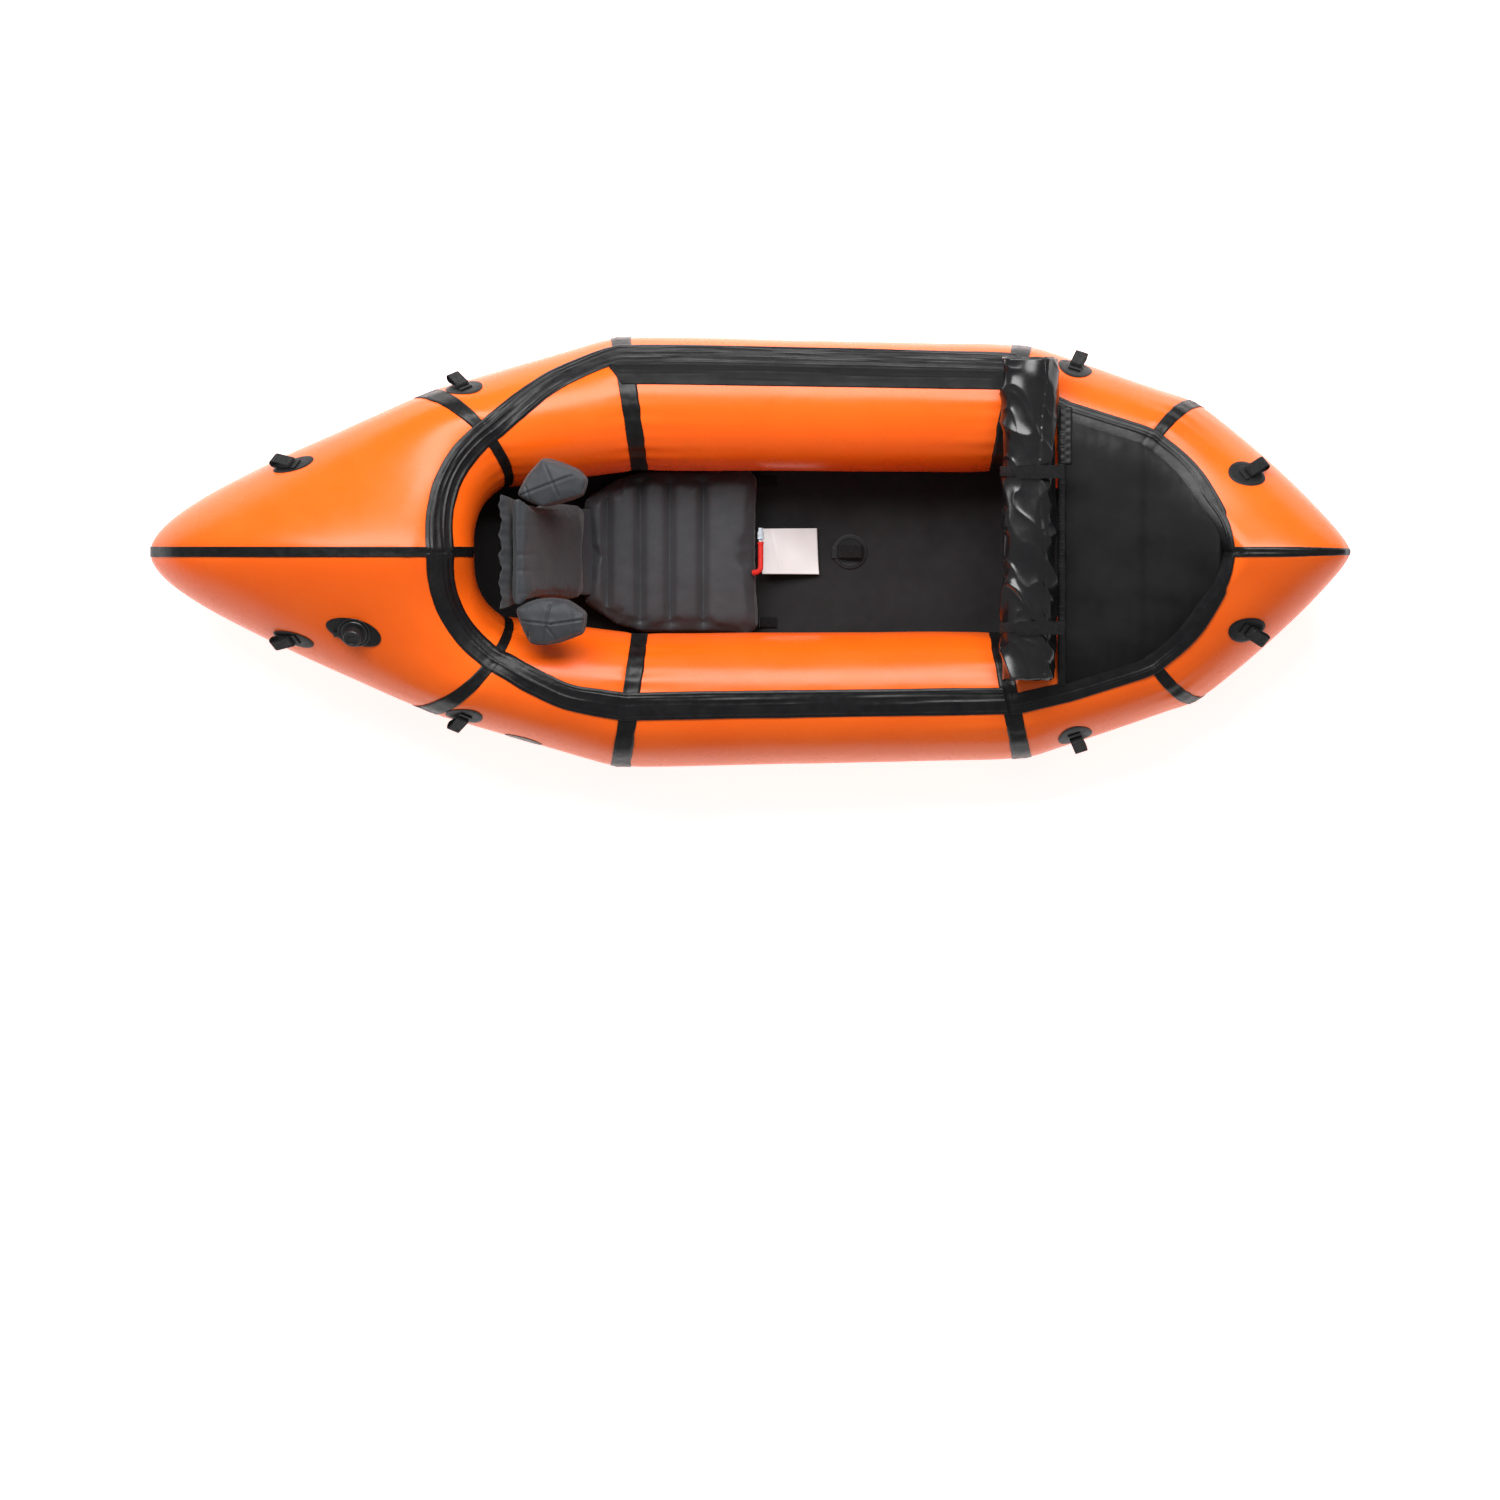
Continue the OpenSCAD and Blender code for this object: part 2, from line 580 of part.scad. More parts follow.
lifted() {
  hull_panel(1, 0, 1, end_steps);  // stern_panel_port
  hull_panel(-1, 0, 1, end_steps);  // stern_panel_starboard
  hull_panel(1, 1, 2, 1);  // stern_quarter_port
  hull_panel(-1, 1, 2, 1);  // stern_quarter_starboard
  hull_panel(1, 2, 3, 1);  // side_tube_port
  hull_panel(-1, 2, 3, 1);  // side_tube_starboard
  hull_panel(1, 3, 4, 1);  // bow_quarter_port
  hull_panel(-1, 3, 4, 1);  // bow_quarter_starboard
  hull_panel(1, 4, 5, end_steps);  // bow_panel_port
  hull_panel(-1, 4, 5, end_steps);  // bow_panel_starboard
  centre_tape(0, 10, 170, 16);  // stern_centre_tape
  centre_tape(5, -40, 110, 16);  // bow_centre_tape
  seam_tape(1, 1);  // seam_tape_a_port
  seam_tape(-1, 1);  // seam_tape_a_starboard
  seam_tape(1, 2);  // seam_tape_b_port
  seam_tape(-1, 2);  // seam_tape_b_starboard
  seam_tape(1, 3);  // seam_tape_c_port
  seam_tape(-1, 3);  // seam_tape_c_starboard
  seam_tape(1, 4);  // seam_tape_d_port
  seam_tape(-1, 4);  // seam_tape_d_starboard
  floor_sheet();
  coaming(1, port_path);  // coaming_port
  coaming(-1, starboard_path);  // coaming_starboard
  spraydeck_band();
  bow_deck();
  deck_border();
  deck_hem();
  spraydeck_roll();
  roll_strap(0);  // roll_strap_port
  roll_strap(1);  // roll_strap_starboard
  roll_tab(0);  // roll_tab_port
  roll_tab(1);  // roll_tab_starboard
  seat_cushion();
  seat_ties();
  backrest_panel();
  backrest_wing(1);  // backrest_wing_port
  backrest_wing(-1);  // backrest_wing_starboard
  backrest_flange();
  backrest_hinge();
  oral_valve_stem();
  oral_valve_cap();
  paper_tag();
  floor_patch();
  floor_loop();
  lashing_patches();
  lash_loop(0);  // lash_loop_1
  lash_loop(1);  // lash_loop_2
  lash_loop(2);  // lash_loop_3
  lash_loop(3);  // lash_loop_4
  lash_loop(4);  // lash_loop_5
  lash_loop(5);  // lash_loop_6
  lash_loop(6);  // lash_loop_7
  lash_loop(7);  // lash_loop_8
  valve_patch();
  valve_body();
  valve_cap();
  valve_leash();
  badge();
  skeg_base();
  skeg_fin();
}
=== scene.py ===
"""Packraft: the looks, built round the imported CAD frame. Metres; +X bow, +Y port, +Z up."""
import json
import math

import bmesh
import bpy
import numpy as np
from mathutils import Matrix, Vector, noise


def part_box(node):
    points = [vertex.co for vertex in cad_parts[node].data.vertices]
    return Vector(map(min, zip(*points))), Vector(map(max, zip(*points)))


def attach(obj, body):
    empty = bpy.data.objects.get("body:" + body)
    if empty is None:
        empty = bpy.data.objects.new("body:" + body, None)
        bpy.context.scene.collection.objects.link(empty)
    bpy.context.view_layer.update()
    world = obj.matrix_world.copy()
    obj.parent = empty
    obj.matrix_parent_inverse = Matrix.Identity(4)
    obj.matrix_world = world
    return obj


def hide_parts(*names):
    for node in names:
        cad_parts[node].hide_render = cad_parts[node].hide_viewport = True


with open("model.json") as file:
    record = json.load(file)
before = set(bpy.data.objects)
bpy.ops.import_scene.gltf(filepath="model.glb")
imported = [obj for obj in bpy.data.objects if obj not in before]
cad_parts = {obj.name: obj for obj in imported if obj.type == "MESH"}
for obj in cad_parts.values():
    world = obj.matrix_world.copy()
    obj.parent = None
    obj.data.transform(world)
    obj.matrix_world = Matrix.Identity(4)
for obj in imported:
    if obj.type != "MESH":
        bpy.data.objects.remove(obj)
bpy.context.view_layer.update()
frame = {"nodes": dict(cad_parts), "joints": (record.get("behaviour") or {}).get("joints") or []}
MM = 0.001

# ---- Places from the frame -----------------------------------------------------------------------
tube_low, tube_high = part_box("side_tube_port")
LIFT = tube_low[2]                   # height of the tube bottoms
TUBE_R = (tube_high[2] - tube_low[2]) / 2
SIDE_Y = tube_high[1] - TUBE_R
HALF_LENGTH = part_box("bow_panel_port")[1][0]
STERN_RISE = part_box("stern_panel_port")[1][2] - LIFT
BOW_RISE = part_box("bow_panel_port")[1][2] - LIFT

# ---- Hull surface: the same rings and curves as the CAD, in metres -------------------------------
# Origin, direction of the outboard axis, lean, outer, top, inner, bottom, roundness per quarter
ROUND = (2, 2, 2, 2)
RINGS = [
    ((0, 0), 180, 0, (HALF_LENGTH, 0.144), (0.700, STERN_RISE), (0.540, 0.235), (0.620, 0.020),
     (1.7, 2, 2, 2)),
    ((-0.556, 0.220), 131, 0.3, (0.121, 0.163), (0, 0.296), (-0.121, 0.163), (0, 0.028), ROUND),
    ((-0.242, SIDE_Y), 98, 0, (TUBE_R, TUBE_R), (0, 2 * TUBE_R), (-TUBE_R, TUBE_R), (0, 0), ROUND),
    ((0.516, 0.281), 79, 0, (0.127, 0.131), (0, 0.263), (-0.127, 0.131), (0, 0), ROUND),
    ((0.812, 0.184), 59, -0.3, (0.126, 0.163), (0, 0.291), (-0.122, 0.160), (0, 0.024), ROUND),
    ((0, 0), 0, 0, (HALF_LENGTH, 0.302), (0.990, BOW_RISE), (0.900, 0.225), (0.860, 0.030), (2.5, 2, 2, 2)),
]
BEND = [(0.13, 0.50), (0, 0), (0, 0), (0, 0), (0.36, 0.08)]
LAST = len(RINGS) - 1
STERN_HEADING = np.array([0.91, 0.41])
BOW_HEADING = np.array([0.8, -0.6])


def along(ring):
    t = math.radians(ring[1])
    return np.array([math.sin(t), -math.cos(t)])


def ring_point(ring, a, off):
    """Points of a ring at angles a (degrees), moved outwards by off."""
    a = np.mod(a, 360.0)
    q = np.floor(a / 90).astype(int) % 4
    shape = 2 / np.array(ring[7])[q]
    c = np.abs(np.cos(np.radians(a))) ** shape
    s = np.abs(np.sin(np.radians(a))) ** shape
    upper = q < 2
    outer = (q == 0) | (q == 3)
    mid = np.where(upper, ring[4][0], ring[6][0])
    side_s = np.where(outer, ring[3][0] + off, ring[5][0] - off)
    side_z = np.where(outer, ring[3][1], ring[5][1])
    rise = np.where(upper, ring[4][1] + off - side_z, ring[6][1] - off - side_z)
    reach = mid + (side_s - mid) * c
    z = side_z + rise * s
    t = math.radians(ring[1])
    lean = ring[2] * (z - (ring[4][1] + ring[6][1]) / 2)
    x = ring[0][0] + math.cos(t) * reach + along(ring)[0] * lean
    y = ring[0][1] + math.sin(t) * reach + along(ring)[1] * lean
    return np.stack([x, y, z + LIFT], axis=-1)


def panel_point(i, t, a, off):
    """Points of the port panel between ring i and the next, at t from 0 to 1."""
    first = ring_point(RINGS[i], a, off)
    last = ring_point(RINGS[i + 1], a, off)
    span = np.linalg.norm(last - first, axis=-1, keepdims=True)
    chord = (last - first)[..., :2]
    chord = chord / np.maximum(np.linalg.norm(chord, axis=-1, keepdims=True), 1e-6)
    h0, h1 = chord, chord
    if i == 0:
        h0, h1 = along(RINGS[0]), STERN_HEADING
    if i == LAST - 1:
        h0, h1 = BOW_HEADING, along(RINGS[LAST])
    a0, a1 = first.copy(), last.copy()
    a0[..., :2] += h0 * span * BEND[i][0]
    a1[..., :2] -= h1 * span * BEND[i][1]
    t = np.asarray(t)[..., None]
    if 0 < i < LAST - 1:
        return first + (last - first) * t
    return first * (1 - t) ** 3 + a0 * 3 * t * (1 - t) ** 2 + a1 * 3 * t * t * (1 - t) + last * t ** 3


def hull(side, st, a, off=0.0):
    """Points of the hull at station st, angle a, moved outwards by off; all broadcast together."""
    st, a, off = np.broadcast_arrays(np.asarray(st, float), np.asarray(a, float), np.asarray(off, float))
    points = np.zeros(st.shape + (3,))
    panel = np.clip(np.floor(st).astype(int), 0, LAST - 1)
    for i in range(LAST):
        m = panel == i
        if m.any():
            points[m] = panel_point(i, (st - i)[m], a[m], off[m])
    points[..., 1] *= side
    return points


def hull_frame(side, st, a, off=0.0):
    """Place on the hull and its axes: x down and outboard, y along, z outwards."""
    p = hull(side, st, a, off)
    n = np.cross(hull(side, st + 0.01, a, off) - p, hull(side, st, a + 1, off) - p) * -side
    n = n / np.linalg.norm(n)
    down = hull(side, st, a - 1, off) - p
    x = down - n * (n @ down)
    x = x / np.linalg.norm(x)
    y = np.cross(n, x)
    m = Matrix.Identity(4)
    for r in range(3):
        m[r][0], m[r][1], m[r][2], m[r][3] = x[r], y[r], n[r], p[r]
    return m


# ---- Mesh tools ----------------------------------------------------------------------------------
def add_object(name, verts, faces, smooth=True, uvs=None):
    mesh = bpy.data.meshes.new(name)
    mesh.from_pydata([tuple(map(float, v)) for v in verts], [], faces)
    mesh.update()
    if uvs is not None:
        layer = mesh.uv_layers.new(name="UVMap")
        loops = np.zeros(len(mesh.loops), dtype=int)
        mesh.loops.foreach_get("vertex_index", loops)
        layer.data.foreach_set("uv", np.asarray(uvs, dtype=float)[loops].ravel())
    obj = bpy.data.objects.new(name, mesh)
    bpy.context.scene.collection.objects.link(obj)
    fix_normals(obj)
    mesh.polygons.foreach_set("use_smooth", [smooth] * len(mesh.polygons))
    return obj


def fix_normals(obj):
    bm = bmesh.new()
    bm.from_mesh(obj.data)
    bmesh.ops.recalc_face_normals(bm, faces=bm.faces)
    bm.to_mesh(obj.data)
    bm.free()


def grid_faces(rows, cols, base=0, wrap=False):
    faces = []
    for r in range(rows - 1):
        for c in range(cols if wrap else cols - 1):
            d = (c + 1) % cols
            this_row = base + r * cols
            next_row = this_row + cols
            faces.append((this_row + c, this_row + d, next_row + d, next_row + c))
    return faces


def ring_faces(rows, cols):
    """Faces of a closed ring of closed sections."""
    faces = []
    for r in range(rows):
        this_row, next_row = r * cols, (r + 1) % rows * cols
        for c in range(cols):
            d = (c + 1) % cols
            faces.append((this_row + c, this_row + d, next_row + d, next_row + c))
    return faces


def grid_uv(points):
    """Lengths along the rows and across the columns, in metres."""
    du = np.linalg.norm(np.diff(points, axis=0), axis=-1).mean(axis=1)
    dv = np.linalg.norm(np.diff(points, axis=1), axis=-1).mean(axis=0)
    u = np.concatenate([[0], np.cumsum(du)])
    v = np.concatenate([[0], np.cumsum(dv)])
    return np.stack(np.meshgrid(u, v, indexing="ij"), axis=-1)


def open_grid(name, points, wrap=False):
    rows, cols = points.shape[:2]
    faces = grid_faces(rows, cols, wrap=wrap)
    return add_object(name, points.reshape(-1, 3), faces, uvs=grid_uv(points).reshape(-1, 2))


def thick_grid(name, inner, outer):
    """A closed sheet between two grids of points."""
    rows, cols = inner.shape[:2]
    count = rows * cols
    faces = grid_faces(rows, cols) + grid_faces(rows, cols, count)
    ring = [(0, c) for c in range(cols)] + [(r, cols - 1) for r in range(1, rows)]
    ring += [(rows - 1, c) for c in range(cols - 2, -1, -1)] + [(r, 0) for r in range(rows - 2, 0, -1)]
    for (r0, c0), (r1, c1) in zip(ring, ring[1:] + ring[:1]):
        a, b = r0 * cols + c0, r1 * cols + c1
        faces.append((a, b, b + count, a + count))
    verts = np.concatenate([inner.reshape(-1, 3), outer.reshape(-1, 3)])
    uv = grid_uv(outer).reshape(-1, 2)
    return add_object(name, verts, faces, uvs=np.concatenate([uv, uv]))


def join(name, objs):
    with bpy.context.temp_override(active_object=objs[0], object=objs[0], selected_objects=objs,
                                   selected_editable_objects=objs):
        bpy.ops.object.join()
    objs[0].name = name
    objs[0].data.name = name
    return objs[0]


def smooth_by_angle(obj, degrees=35):
    for e in obj.data.edges:
        e.use_edge_sharp = False
    bm = bmesh.new()
    bm.from_mesh(obj.data)
    for e in bm.edges:
        if len(e.link_faces) == 2 and e.calc_face_angle(0) > math.radians(degrees):
            e.smooth = False
    bm.to_mesh(obj.data)
    bm.free()


def clustered(n, tight=2.2):
    """0 to 1 in n steps, closer together at both ends."""
    t = np.linspace(-1, 1, n)
    return 0.5 + 0.5 * np.sign(t) * (1 - (1 - np.abs(t)) ** tight) if tight else (t + 1) / 2


def fractal(points, scale, octaves=3):
    """Smooth noise about 0 at every point, features about scale metres."""
    flat = points.reshape(-1, 3) / scale
    values = [noise.fractal(Vector(p), 1.0, 2.0, octaves) for p in flat]
    return np.array(values).reshape(points.shape[:-1])


# ---- Materials -----------------------------------------------------------------------------------
class Mat:
    """A Principled material and short ways to add nodes to it."""

    def __init__(self, name, color, rough, **sockets):
        self.mat = bpy.data.materials.new(name)
        self.mat.use_nodes = True
        self.tree = self.mat.node_tree
        self.shader = self.tree.nodes["Principled BSDF"]
        self.set("Base Color", (*color, 1))
        self.set("Roughness", rough)
        for key, value in sockets.items():
            self.set(key.replace("_", " ").title().replace("Ior", "IOR"), value)
        self.coords = self.node("ShaderNodeTexCoord")
        self.bump = None

    def node(self, kind, **props):
        n = self.tree.nodes.new(kind)
        for key, value in props.items():
            setattr(n, key, value)
        return n

    def set(self, socket, value):
        self.shader.inputs[socket].default_value = value

    def link(self, a, b):
        self.tree.links.new(a, b)

    def noise(self, scale, detail=3, rough=0.55, space="Object", stretch=(1, 1, 1)):
        m = self.node("ShaderNodeMapping")
        m.inputs["Scale"].default_value = stretch
        self.link(self.coords.outputs[space], m.inputs["Vector"])
        n = self.node("ShaderNodeTexNoise")
        n.inputs["Scale"].default_value = scale
        n.inputs["Detail"].default_value = detail
        n.inputs["Roughness"].default_value = rough
        self.link(m.outputs["Vector"], n.inputs["Vector"])
        return n.outputs["Fac"]

    def wave(self, scale, axis="X", space="UV", distortion=0.0):
        w = self.node("ShaderNodeTexWave", wave_type="BANDS", bands_direction=axis)
        w.inputs["Scale"].default_value = scale
        w.inputs["Distortion"].default_value = distortion
        self.link(self.coords.outputs[space], w.inputs["Vector"])
        return w.outputs["Fac"]

    def math(self, op, a, b=None):
        n = self.node("ShaderNodeMath", operation=op)
        for k, v in enumerate((a, b)):
            if v is None:
                continue
            if isinstance(v, (int, float)):
                n.inputs[k].default_value = v
            else:
                self.link(v, n.inputs[k])
        return n.outputs[0]

    def ramp(self, fac, stops):
        r = self.node("ShaderNodeValToRGB")
        while len(r.color_ramp.elements) < len(stops):
            r.color_ramp.elements.new(0.5)
        for e, (pos, color) in zip(r.color_ramp.elements, stops):
            e.position = pos
            e.color = (*color, 1) if len(color) == 3 else color
        self.link(fac, r.inputs["Fac"])
        return r.outputs["Color"]

    def map(self, fac, low, high, out_low, out_high):
        m = self.node("ShaderNodeMapRange")
        for k, v in zip(("From Min", "From Max", "To Min", "To Max"), (low, high, out_low, out_high)):
            m.inputs[k].default_value = v
        self.link(fac, m.inputs["Value"])
        return m.outputs["Result"]

    def add_bump(self, height, distance, strength=1.0):
        b = self.node("ShaderNodeBump")
        b.inputs["Strength"].default_value = strength
        b.inputs["Distance"].default_value = distance
        self.link(height, b.inputs["Height"])
        if self.bump:
            self.link(self.bump.outputs["Normal"], b.inputs["Normal"])
        self.bump = b
        self.link(b.outputs["Normal"], self.shader.inputs["Normal"])

    def tint(self, fac, dark, light):
        self.link(self.ramp(fac, [(0.3, dark), (0.7, light)]), self.shader.inputs["Base Color"])

    def vary_roughness(self, fac, low, high):
        self.link(self.map(fac, 0.3, 0.7, low, high), self.shader.inputs["Roughness"])


def weave(m, threads_per_m, distance):
    """Fine plain weave as bump, from object space, so that it needs no UVs."""
    a = m.wave(threads_per_m, "X", "Object")
    b = m.wave(threads_per_m, "Y", "Object")
    m.add_bump(m.math("MAXIMUM", a, b), distance, 0.35)


def make_tube_fabric():
    m = Mat("tube_fabric", (0.98, 0.13, 0.006), 0.27, specular_ior_level=0.36)
    m.tint(m.noise(3.5, 4), (0.95, 0.120, 0.005), (1.0, 0.145, 0.008))
    m.vary_roughness(m.noise(14, 3), 0.24, 0.32)
    m.add_bump(m.noise(9, 2), 0.0016, 0.5)
    m.add_bump(m.noise(1400, 2), 0.00006, 0.5)
    return m.mat


def make_seam_tape():
    m = Mat("seam_tape", (0.006, 0.006, 0.006), 0.3, specular_ior_level=0.28)
    m.tint(m.noise(60, 3), (0.004, 0.004, 0.004), (0.009, 0.009, 0.009))
    m.vary_roughness(m.noise(90, 3), 0.26, 0.42)
    m.add_bump(m.noise(70, 3), 0.0008, 0.5)
    return m.mat


def make_coaming_fabric():
    m = Mat("coaming_fabric", (0.006, 0.006, 0.007), 0.3, specular_ior_level=0.3)
    m.tint(m.noise(40, 4), (0.004, 0.004, 0.005), (0.009, 0.009, 0.010))
    m.vary_roughness(m.noise(50, 3), 0.26, 0.42)
    m.add_bump(m.noise(45, 4), 0.0010, 0.5)
    weave(m, 700, 0.00012)
    return m.mat


def make_deck_fabric():
    m = Mat("deck_fabric", (0.005, 0.005, 0.006), 0.45, specular_ior_level=0.16)
    m.tint(m.noise(12, 4), (0.0035, 0.0035, 0.004), (0.007, 0.007, 0.0075))
    m.vary_roughness(m.noise(25, 3), 0.40, 0.60)
    m.add_bump(m.noise(11, 3), 0.002, 0.4)
    weave(m, 800, 0.00012)
    return m.mat


def make_roll_fabric():
    m = Mat("roll_fabric", (0.005, 0.005, 0.006), 0.2, specular_ior_level=0.6)
    m.vary_roughness(m.noise(30, 3), 0.16, 0.30)
    m.tint(m.noise(20, 3), (0.004, 0.004, 0.005), (0.008, 0.008, 0.009))
    m.add_bump(m.noise(22, 1, 0.4), 0.0010, 0.5)
    return m.mat


def make_floor_fabric():
    m = Mat("floor_fabric", (0.010, 0.010, 0.011), 0.6, specular_ior_level=0.2)
    m.tint(m.noise(8, 4), (0.008, 0.008, 0.009), (0.014, 0.014, 0.015))
    m.vary_roughness(m.noise(30, 3), 0.52, 0.7)
    m.add_bump(m.noise(7, 3), 0.002, 0.4)
    weave(m, 650, 0.00018)
    return m.mat


def make_seat_fabric():
    m = Mat("seat_fabric", (0.034, 0.036, 0.040), 0.55, specular_ior_level=0.3)
    m.tint(m.noise(10, 4), (0.028, 0.030, 0.034), (0.042, 0.044, 0.049))
    m.vary_roughness(m.noise(35, 3), 0.48, 0.62)
    m.add_bump(m.noise(38, 4), 0.0012, 0.5)
    weave(m, 900, 0.00012)
    m.set("Sheen Weight", 0.15)
    return m.mat


def make_patch_fabric():
    m = Mat("patch_fabric", (0.007, 0.007, 0.008), 0.42, specular_ior_level=0.3)
    m.tint(m.noise(60, 3), (0.005, 0.005, 0.006), (0.010, 0.010, 0.011))
    m.vary_roughness(m.noise(80, 3), 0.34, 0.52)
    m.add_bump(m.noise(120, 3), 0.0006, 0.5)
    weave(m, 900, 0.0001)
    return m.mat


def make_webbing():
    m = Mat("webbing", (0.009, 0.009, 0.010), 0.55, specular_ior_level=0.3)
    ribs = m.wave(900, "X", "UV", 0.4)
    m.tint(m.noise(200, 2), (0.006, 0.006, 0.007), (0.014, 0.014, 0.015))
    m.add_bump(ribs, 0.0004, 0.8)
    m.add_bump(m.wave(450, "Y", "UV"), 0.0002, 0.5)
    m.vary_roughness(m.noise(150, 2), 0.48, 0.7)
    return m.mat


def make_plastic(name, color, rough, **sockets):
    m = Mat(name, color, rough, **sockets)
    m.vary_roughness(m.noise(60, 3), rough * 0.8, rough * 1.3)
    m.add_bump(m.noise(900, 2), 0.00005, 0.5)
    m.add_bump(m.noise(70, 2), 0.0003, 0.3)
    return m.mat


def make_clear_plastic():
    m = Mat("clear_plastic", (0.75, 0.85, 0.92), 0.15, ior=1.45)
    m.set("Transmission Weight", 0.55)
    m.vary_roughness(m.noise(80, 2), 0.1, 0.22)
    m.add_bump(m.noise(200, 2), 0.0001, 0.5)
    return m.mat


def make_tag_paper():
    m = Mat("tag_paper", (0.72, 0.72, 0.72), 0.7, specular_ior_level=0.3)
    m.tint(m.noise(14, 3), (0.70, 0.70, 0.70), (0.76, 0.76, 0.76))
    m.vary_roughness(m.noise(60, 3), 0.6, 0.8)
    m.add_bump(m.noise(500, 3), 0.00008, 0.6)
    m.add_bump(m.noise(12, 2), 0.001, 0.4)
    return m.mat


TUBE = make_tube_fabric()
TAPE = make_seam_tape()
COAMING = make_coaming_fabric()
DECK = make_deck_fabric()
ROLL = make_roll_fabric()
FLOOR = make_floor_fabric()
SEAT = make_seat_fabric()
PATCH = make_patch_fabric()
WEBBING = make_webbing()
RED = make_plastic("red_plastic", (0.60, 0.025, 0.018), 0.3)
BLACK = make_plastic("black_plastic", (0.012, 0.012, 0.013), 0.32)
CLEAR = make_clear_plastic()
PAPER = make_tag_paper()


def dress(obj, material, body="hull", nodes=()):
    """Give a piece its material, its body and the CAD nodes that it stands for."""
    obj.data.materials.clear()
    obj.data.materials.append(material)
    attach(obj, body)
    if nodes:
        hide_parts(*nodes)
    return obj


# ---- Camera, floor and light ---------------------------------------------------------------------
VIEW_WIDTH = 2.937                   # metres across the picture
PICTURE_DROP = 0.388                 # the boat lies above the picture's middle


def make_camera():
    data = bpy.data.cameras.new("camera")
    data.type = "ORTHO"
    data.ortho_scale = VIEW_WIDTH
    cam = bpy.data.objects.new("camera", data)
    cam.location = (0, -PICTURE_DROP, 4)
    bpy.context.scene.collection.objects.link(cam)
    bpy.context.scene.camera = cam


def area_light(name, size, power, place, target=(0, 0, 0.2)):
    data = bpy.data.lights.new(name, "AREA")
    data.shape = "RECTANGLE"
    data.size, data.size_y = size
    data.energy = power
    lamp = bpy.data.objects.new(name, data)
    lamp.location = place
    lamp.rotation_euler = (Vector(target) - Vector(place)).to_track_quat("-Z", "Y").to_euler()
    bpy.context.scene.collection.objects.link(lamp)
    return lamp


GROUND_GLOW = 0.75                   # keeps the ground white
WORLD_LIGHT = 0.30
SOFTBOX_SIZE, SOFTBOX_POWER, SOFTBOX_PLACE = (4.6, 1.7), 215, (-0.3, 2.0, 3.1)


def make_stage():
    """A pale floor that touches the skeg's tip and the tube bottoms forward, and soft light."""
    reach = 12
    skeg_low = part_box("skeg_fin")[0]
    fore_x = RINGS[3][0][0]
    slope = (LIFT - skeg_low[2]) / (fore_x - skeg_low[0])
    verts = [(x, y, skeg_low[2] + slope * (x - skeg_low[0]) - 0.004) for x, y in
             ((-reach, -reach), (reach, -reach), (reach, reach), (-reach, reach))]
    floor = add_object("stage_floor", verts, [(0, 1, 2, 3)], smooth=False)
    m = Mat("stage_white", (0.9, 0.9, 0.9), 0.9, specular_ior_level=0.1)
    m.set("Emission Color", (1, 1, 1, 1))
    m.set("Emission Strength", GROUND_GLOW)
    floor.data.materials.append(m.mat)
    world = bpy.data.worlds.new("studio")
    world.use_nodes = True
    world.node_tree.nodes["Background"].inputs["Color"].default_value = (1, 1, 1, 1)
    world.node_tree.nodes["Background"].inputs["Strength"].default_value = WORLD_LIGHT
    bpy.context.scene.world = world
    area_light("softbox", SOFTBOX_SIZE, SOFTBOX_POWER, SOFTBOX_PLACE)


bpy.context.scene.view_settings.view_transform = "Standard"
make_camera()
make_stage()


# ---- Relief of the hull --------------------------------------------------------------------------
SKIN = 2 * MM
PANEL_LENGTH = 0.30                  # beside the rings between the end panels
END_LENGTH = 0.45                    # of the end panels
TAPE_W = 20 * MM
TAPE_STATIONS = TAPE_W / 2 / PANEL_LENGTH
LASH_POINTS = [(1, 0.595, 32), (-1, 0.595, 32), (1, 1.13, 34), (-1, 1.13, 34),
               (1, 3.313, 27), (-1, 3.313, 27), (1, 4.378, 50), (-1, 4.378, 50)]


def relief(st, a):
    """How far the skin lies off the ideal surface: seams pull in and small puckers run from them."""
    ring = np.round(st)
    d = np.abs(st - ring) * PANEL_LENGTH
    seam = ((ring >= 1) & (ring <= LAST - 1)) * 1.0
    angle = np.radians(a)
    pinch = -3.0 * MM * np.exp(-(d / 0.014) ** 2) * seam
    ripple = np.sin(17 * angle + 4 * np.sin(2 * angle + ring)) * np.sin(5 * angle + ring)
    pucker = 1.1 * MM * ripple * np.exp(-d / 0.030) * seam
    end = np.minimum(st, LAST - st) * END_LENGTH
    pinch_end = -2.0 * MM * np.exp(-(end / 0.020) ** 2)
    ripple_end = np.sin(13 * angle + 3 * np.sin(3 * angle)) * 1.2 * MM * np.exp(-end / 0.05)
    return pinch + pucker + pinch_end + ripple_end


def swell(points, side):
    """The slight unevenness of a blown-up tube."""
    return 1.6 * MM * fractal(points + np.array([0, 7.0 * side, 0]), 0.22, 2)


def skin(side, st, a, off):
    """Points off the hull's skin, relief included."""
    st, a, off = np.broadcast_arrays(np.asarray(st, float), np.asarray(a, float), np.asarray(off, float))
    return hull(side, st, a, off + relief(st, a))


